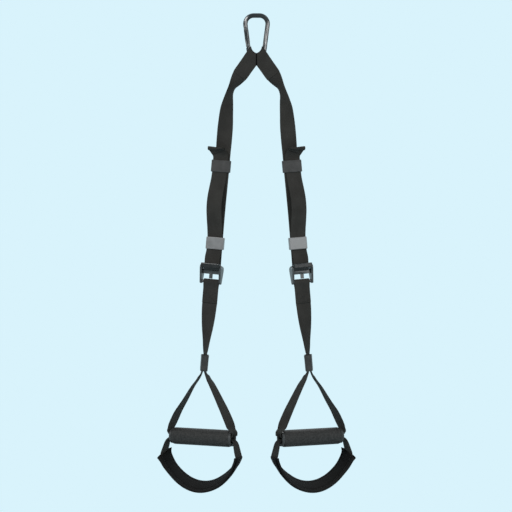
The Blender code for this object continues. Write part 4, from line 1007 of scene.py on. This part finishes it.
pad_cloth = woven("cradle_cloth", (0.0028, 0.0028, 0.0028), (0.0085, 0.0084, 0.0083), 0.0011, 0.0021,
                  strength=0.4, distance=0.00016, specular=0.03)
binding_cloth = woven("cradle_binding", (0.005, 0.005, 0.005), (0.014, 0.0138, 0.0136), 0.0008, 0.0016,
                      strength=0.35, distance=0.00012, specular=0.04)
pad_half = 0.0243
pad_thick = 0.0052
shell_half = 0.0236
shell_thick = 0.0015
shell_wrap = 0.0026
tape_thick = 0.0007
tape_edge = 0.0045
tape_round = 0.0016
tape_height = 0.0018
quilt_line = 0.0158
most_puff = 0.0012
for prefix, side in sides.items():
    pad, spots = cradle_cloth(prefix + "_pad", side, pad_half, 22, 0.6, cradle_rows - 0.6, 110, pad_lift)
    padding = pad.vertex_groups.new(name="padding")
    sewn = pad.vertex_groups.new(name="sewn")
    for index, (share, run) in spots.items():
        rim = 1 - abs(share)
        seam = abs(abs(share) * pad_half - quilt_line)
        end = min(run, 1 - run) * cradle_girth
        fill = smooth_step(rim / 0.22) * (0.35 + 0.65 * smooth_step(seam / 0.0035))
        padding.add([index], fill * (0.25 + 0.75 * smooth_step(end / 0.012)), "REPLACE")
        if rim < 0.06 or seam < 0.0012 or end < 0.004:
            sewn.add([index], 1, "REPLACE")
    thick = thicken(pad, pad_thick)
    thick.vertex_group = "padding"
    thick.thickness_vertex_group = 0.42
    apply_all(pad)
    make_outward(pad)
    flat = [vertex.co.copy() for vertex in pad.data.vertices]
    soft = pad.modifiers.new("soft", "CLOTH")
    soft.settings.use_pressure = True
    soft.settings.uniform_pressure_force = 4
    soft.settings.effector_weights.gravity = 0
    soft.settings.vertex_group_mass = "sewn"
    soft.settings.quality = 6
    soft.settings.tension_stiffness = soft.settings.compression_stiffness = 40
    soft.point_cache.frame_end = 20
    for moment in range(1, 21):
        bpy.context.scene.frame_set(moment)
    bpy.context.view_layer.objects.active = pad
    bpy.ops.object.modifier_apply(modifier="soft")
    bpy.context.scene.frame_set(1)
    for vertex, before in zip(pad.data.vertices, flat):
        moved = vertex.co - before
        vertex.co = before + moved * min(1, most_puff / max(moved.length, 0.000001))
    round_off = pad.modifiers.new("round_off", "SUBSURF")
    round_off.levels = round_off.render_levels = 1
    apply_all(pad)
    pad.vertex_groups.clear()
    finish_piece(pad, prefix + "_cradle_pad", pad_cloth, 70)
    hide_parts(prefix + "_foot_cradle")
    shell, spots = cradle_cloth(prefix + "_shell", side, shell_half, 14, 0.2, cradle_rows - 0.2, 96,
                                outer_lift, shell_wrap)
    thicken(shell, shell_thick)
    apply_all(shell)
    make_outward(shell)
    round_edges(shell, 0.0004)
    apply_all(shell)
    finish_piece(shell, prefix + "_cradle_shell", pad_cloth, 50)
    bindings = []
    for label, rim in (("near", -1), ("far", 1)):
        tape, spots = cradle_cloth(f"{prefix}_{label}_tape", side, 1, 8, 0.5, cradle_rows - 0.5, 110,
                                   pad_lift)
        stance = mirrored(side, handle_frame)
        for vertex in tape.data.vertices:
            share, run = spots[vertex.index]
            step = 0.5 + (cradle_rows - 1) * run
            bend = min(abs(share) / 0.45, 1)
            back = (tape_edge * max(abs(share) - 0.45, 0) / 0.55
                    + tape_round * (1 - math.cos(bend * math.pi / 2)))
            height = math.copysign(tape_height * math.sin(bend * math.pi / 2), share)
            vertex.co = stance @ on_cradle(step, rim * (pad_half + 0.0006 - back), pad_lift(step) + height)
        for loop in tape.data.loops:
            share, run = spots[loop.vertex_index]
            tape.data.uv_layers.active.data[loop.index].uv = (share * 0.006, run * cradle_girth)
        thicken(tape, tape_thick)
        apply_all(tape)
        make_outward(tape)
        bindings.append(finish_piece(tape, f"{prefix}_{label}_binding", binding_cloth, 60))
    long_lines = [[(across, step) for step in range(2, cradle_rows - 1)]
                  for across in (-quilt_line, quilt_line)]
    quilting = cradle_sewing(prefix + "_cradle_quilting", side, long_lines,
                             lambda step, across: pad_lift(step) + 0.0021, black_thread)
    ends = []
    for low, high in ((1.5, 9), (cradle_rows - 9, cradle_rows - 1.5)):
        ends.append([(-0.012, low), (0.012, low), (0.012, high), (-0.012, high), (-0.012, low)])
    anchors = cradle_sewing(prefix + "_cradle_anchor_stitches", side, ends,
                            lambda step, across: outer_lift(step) - 0.0009, black_thread)
    for piece in (pad, shell, quilting, anchors, *bindings):
        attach(piece, prefix + "_foot")
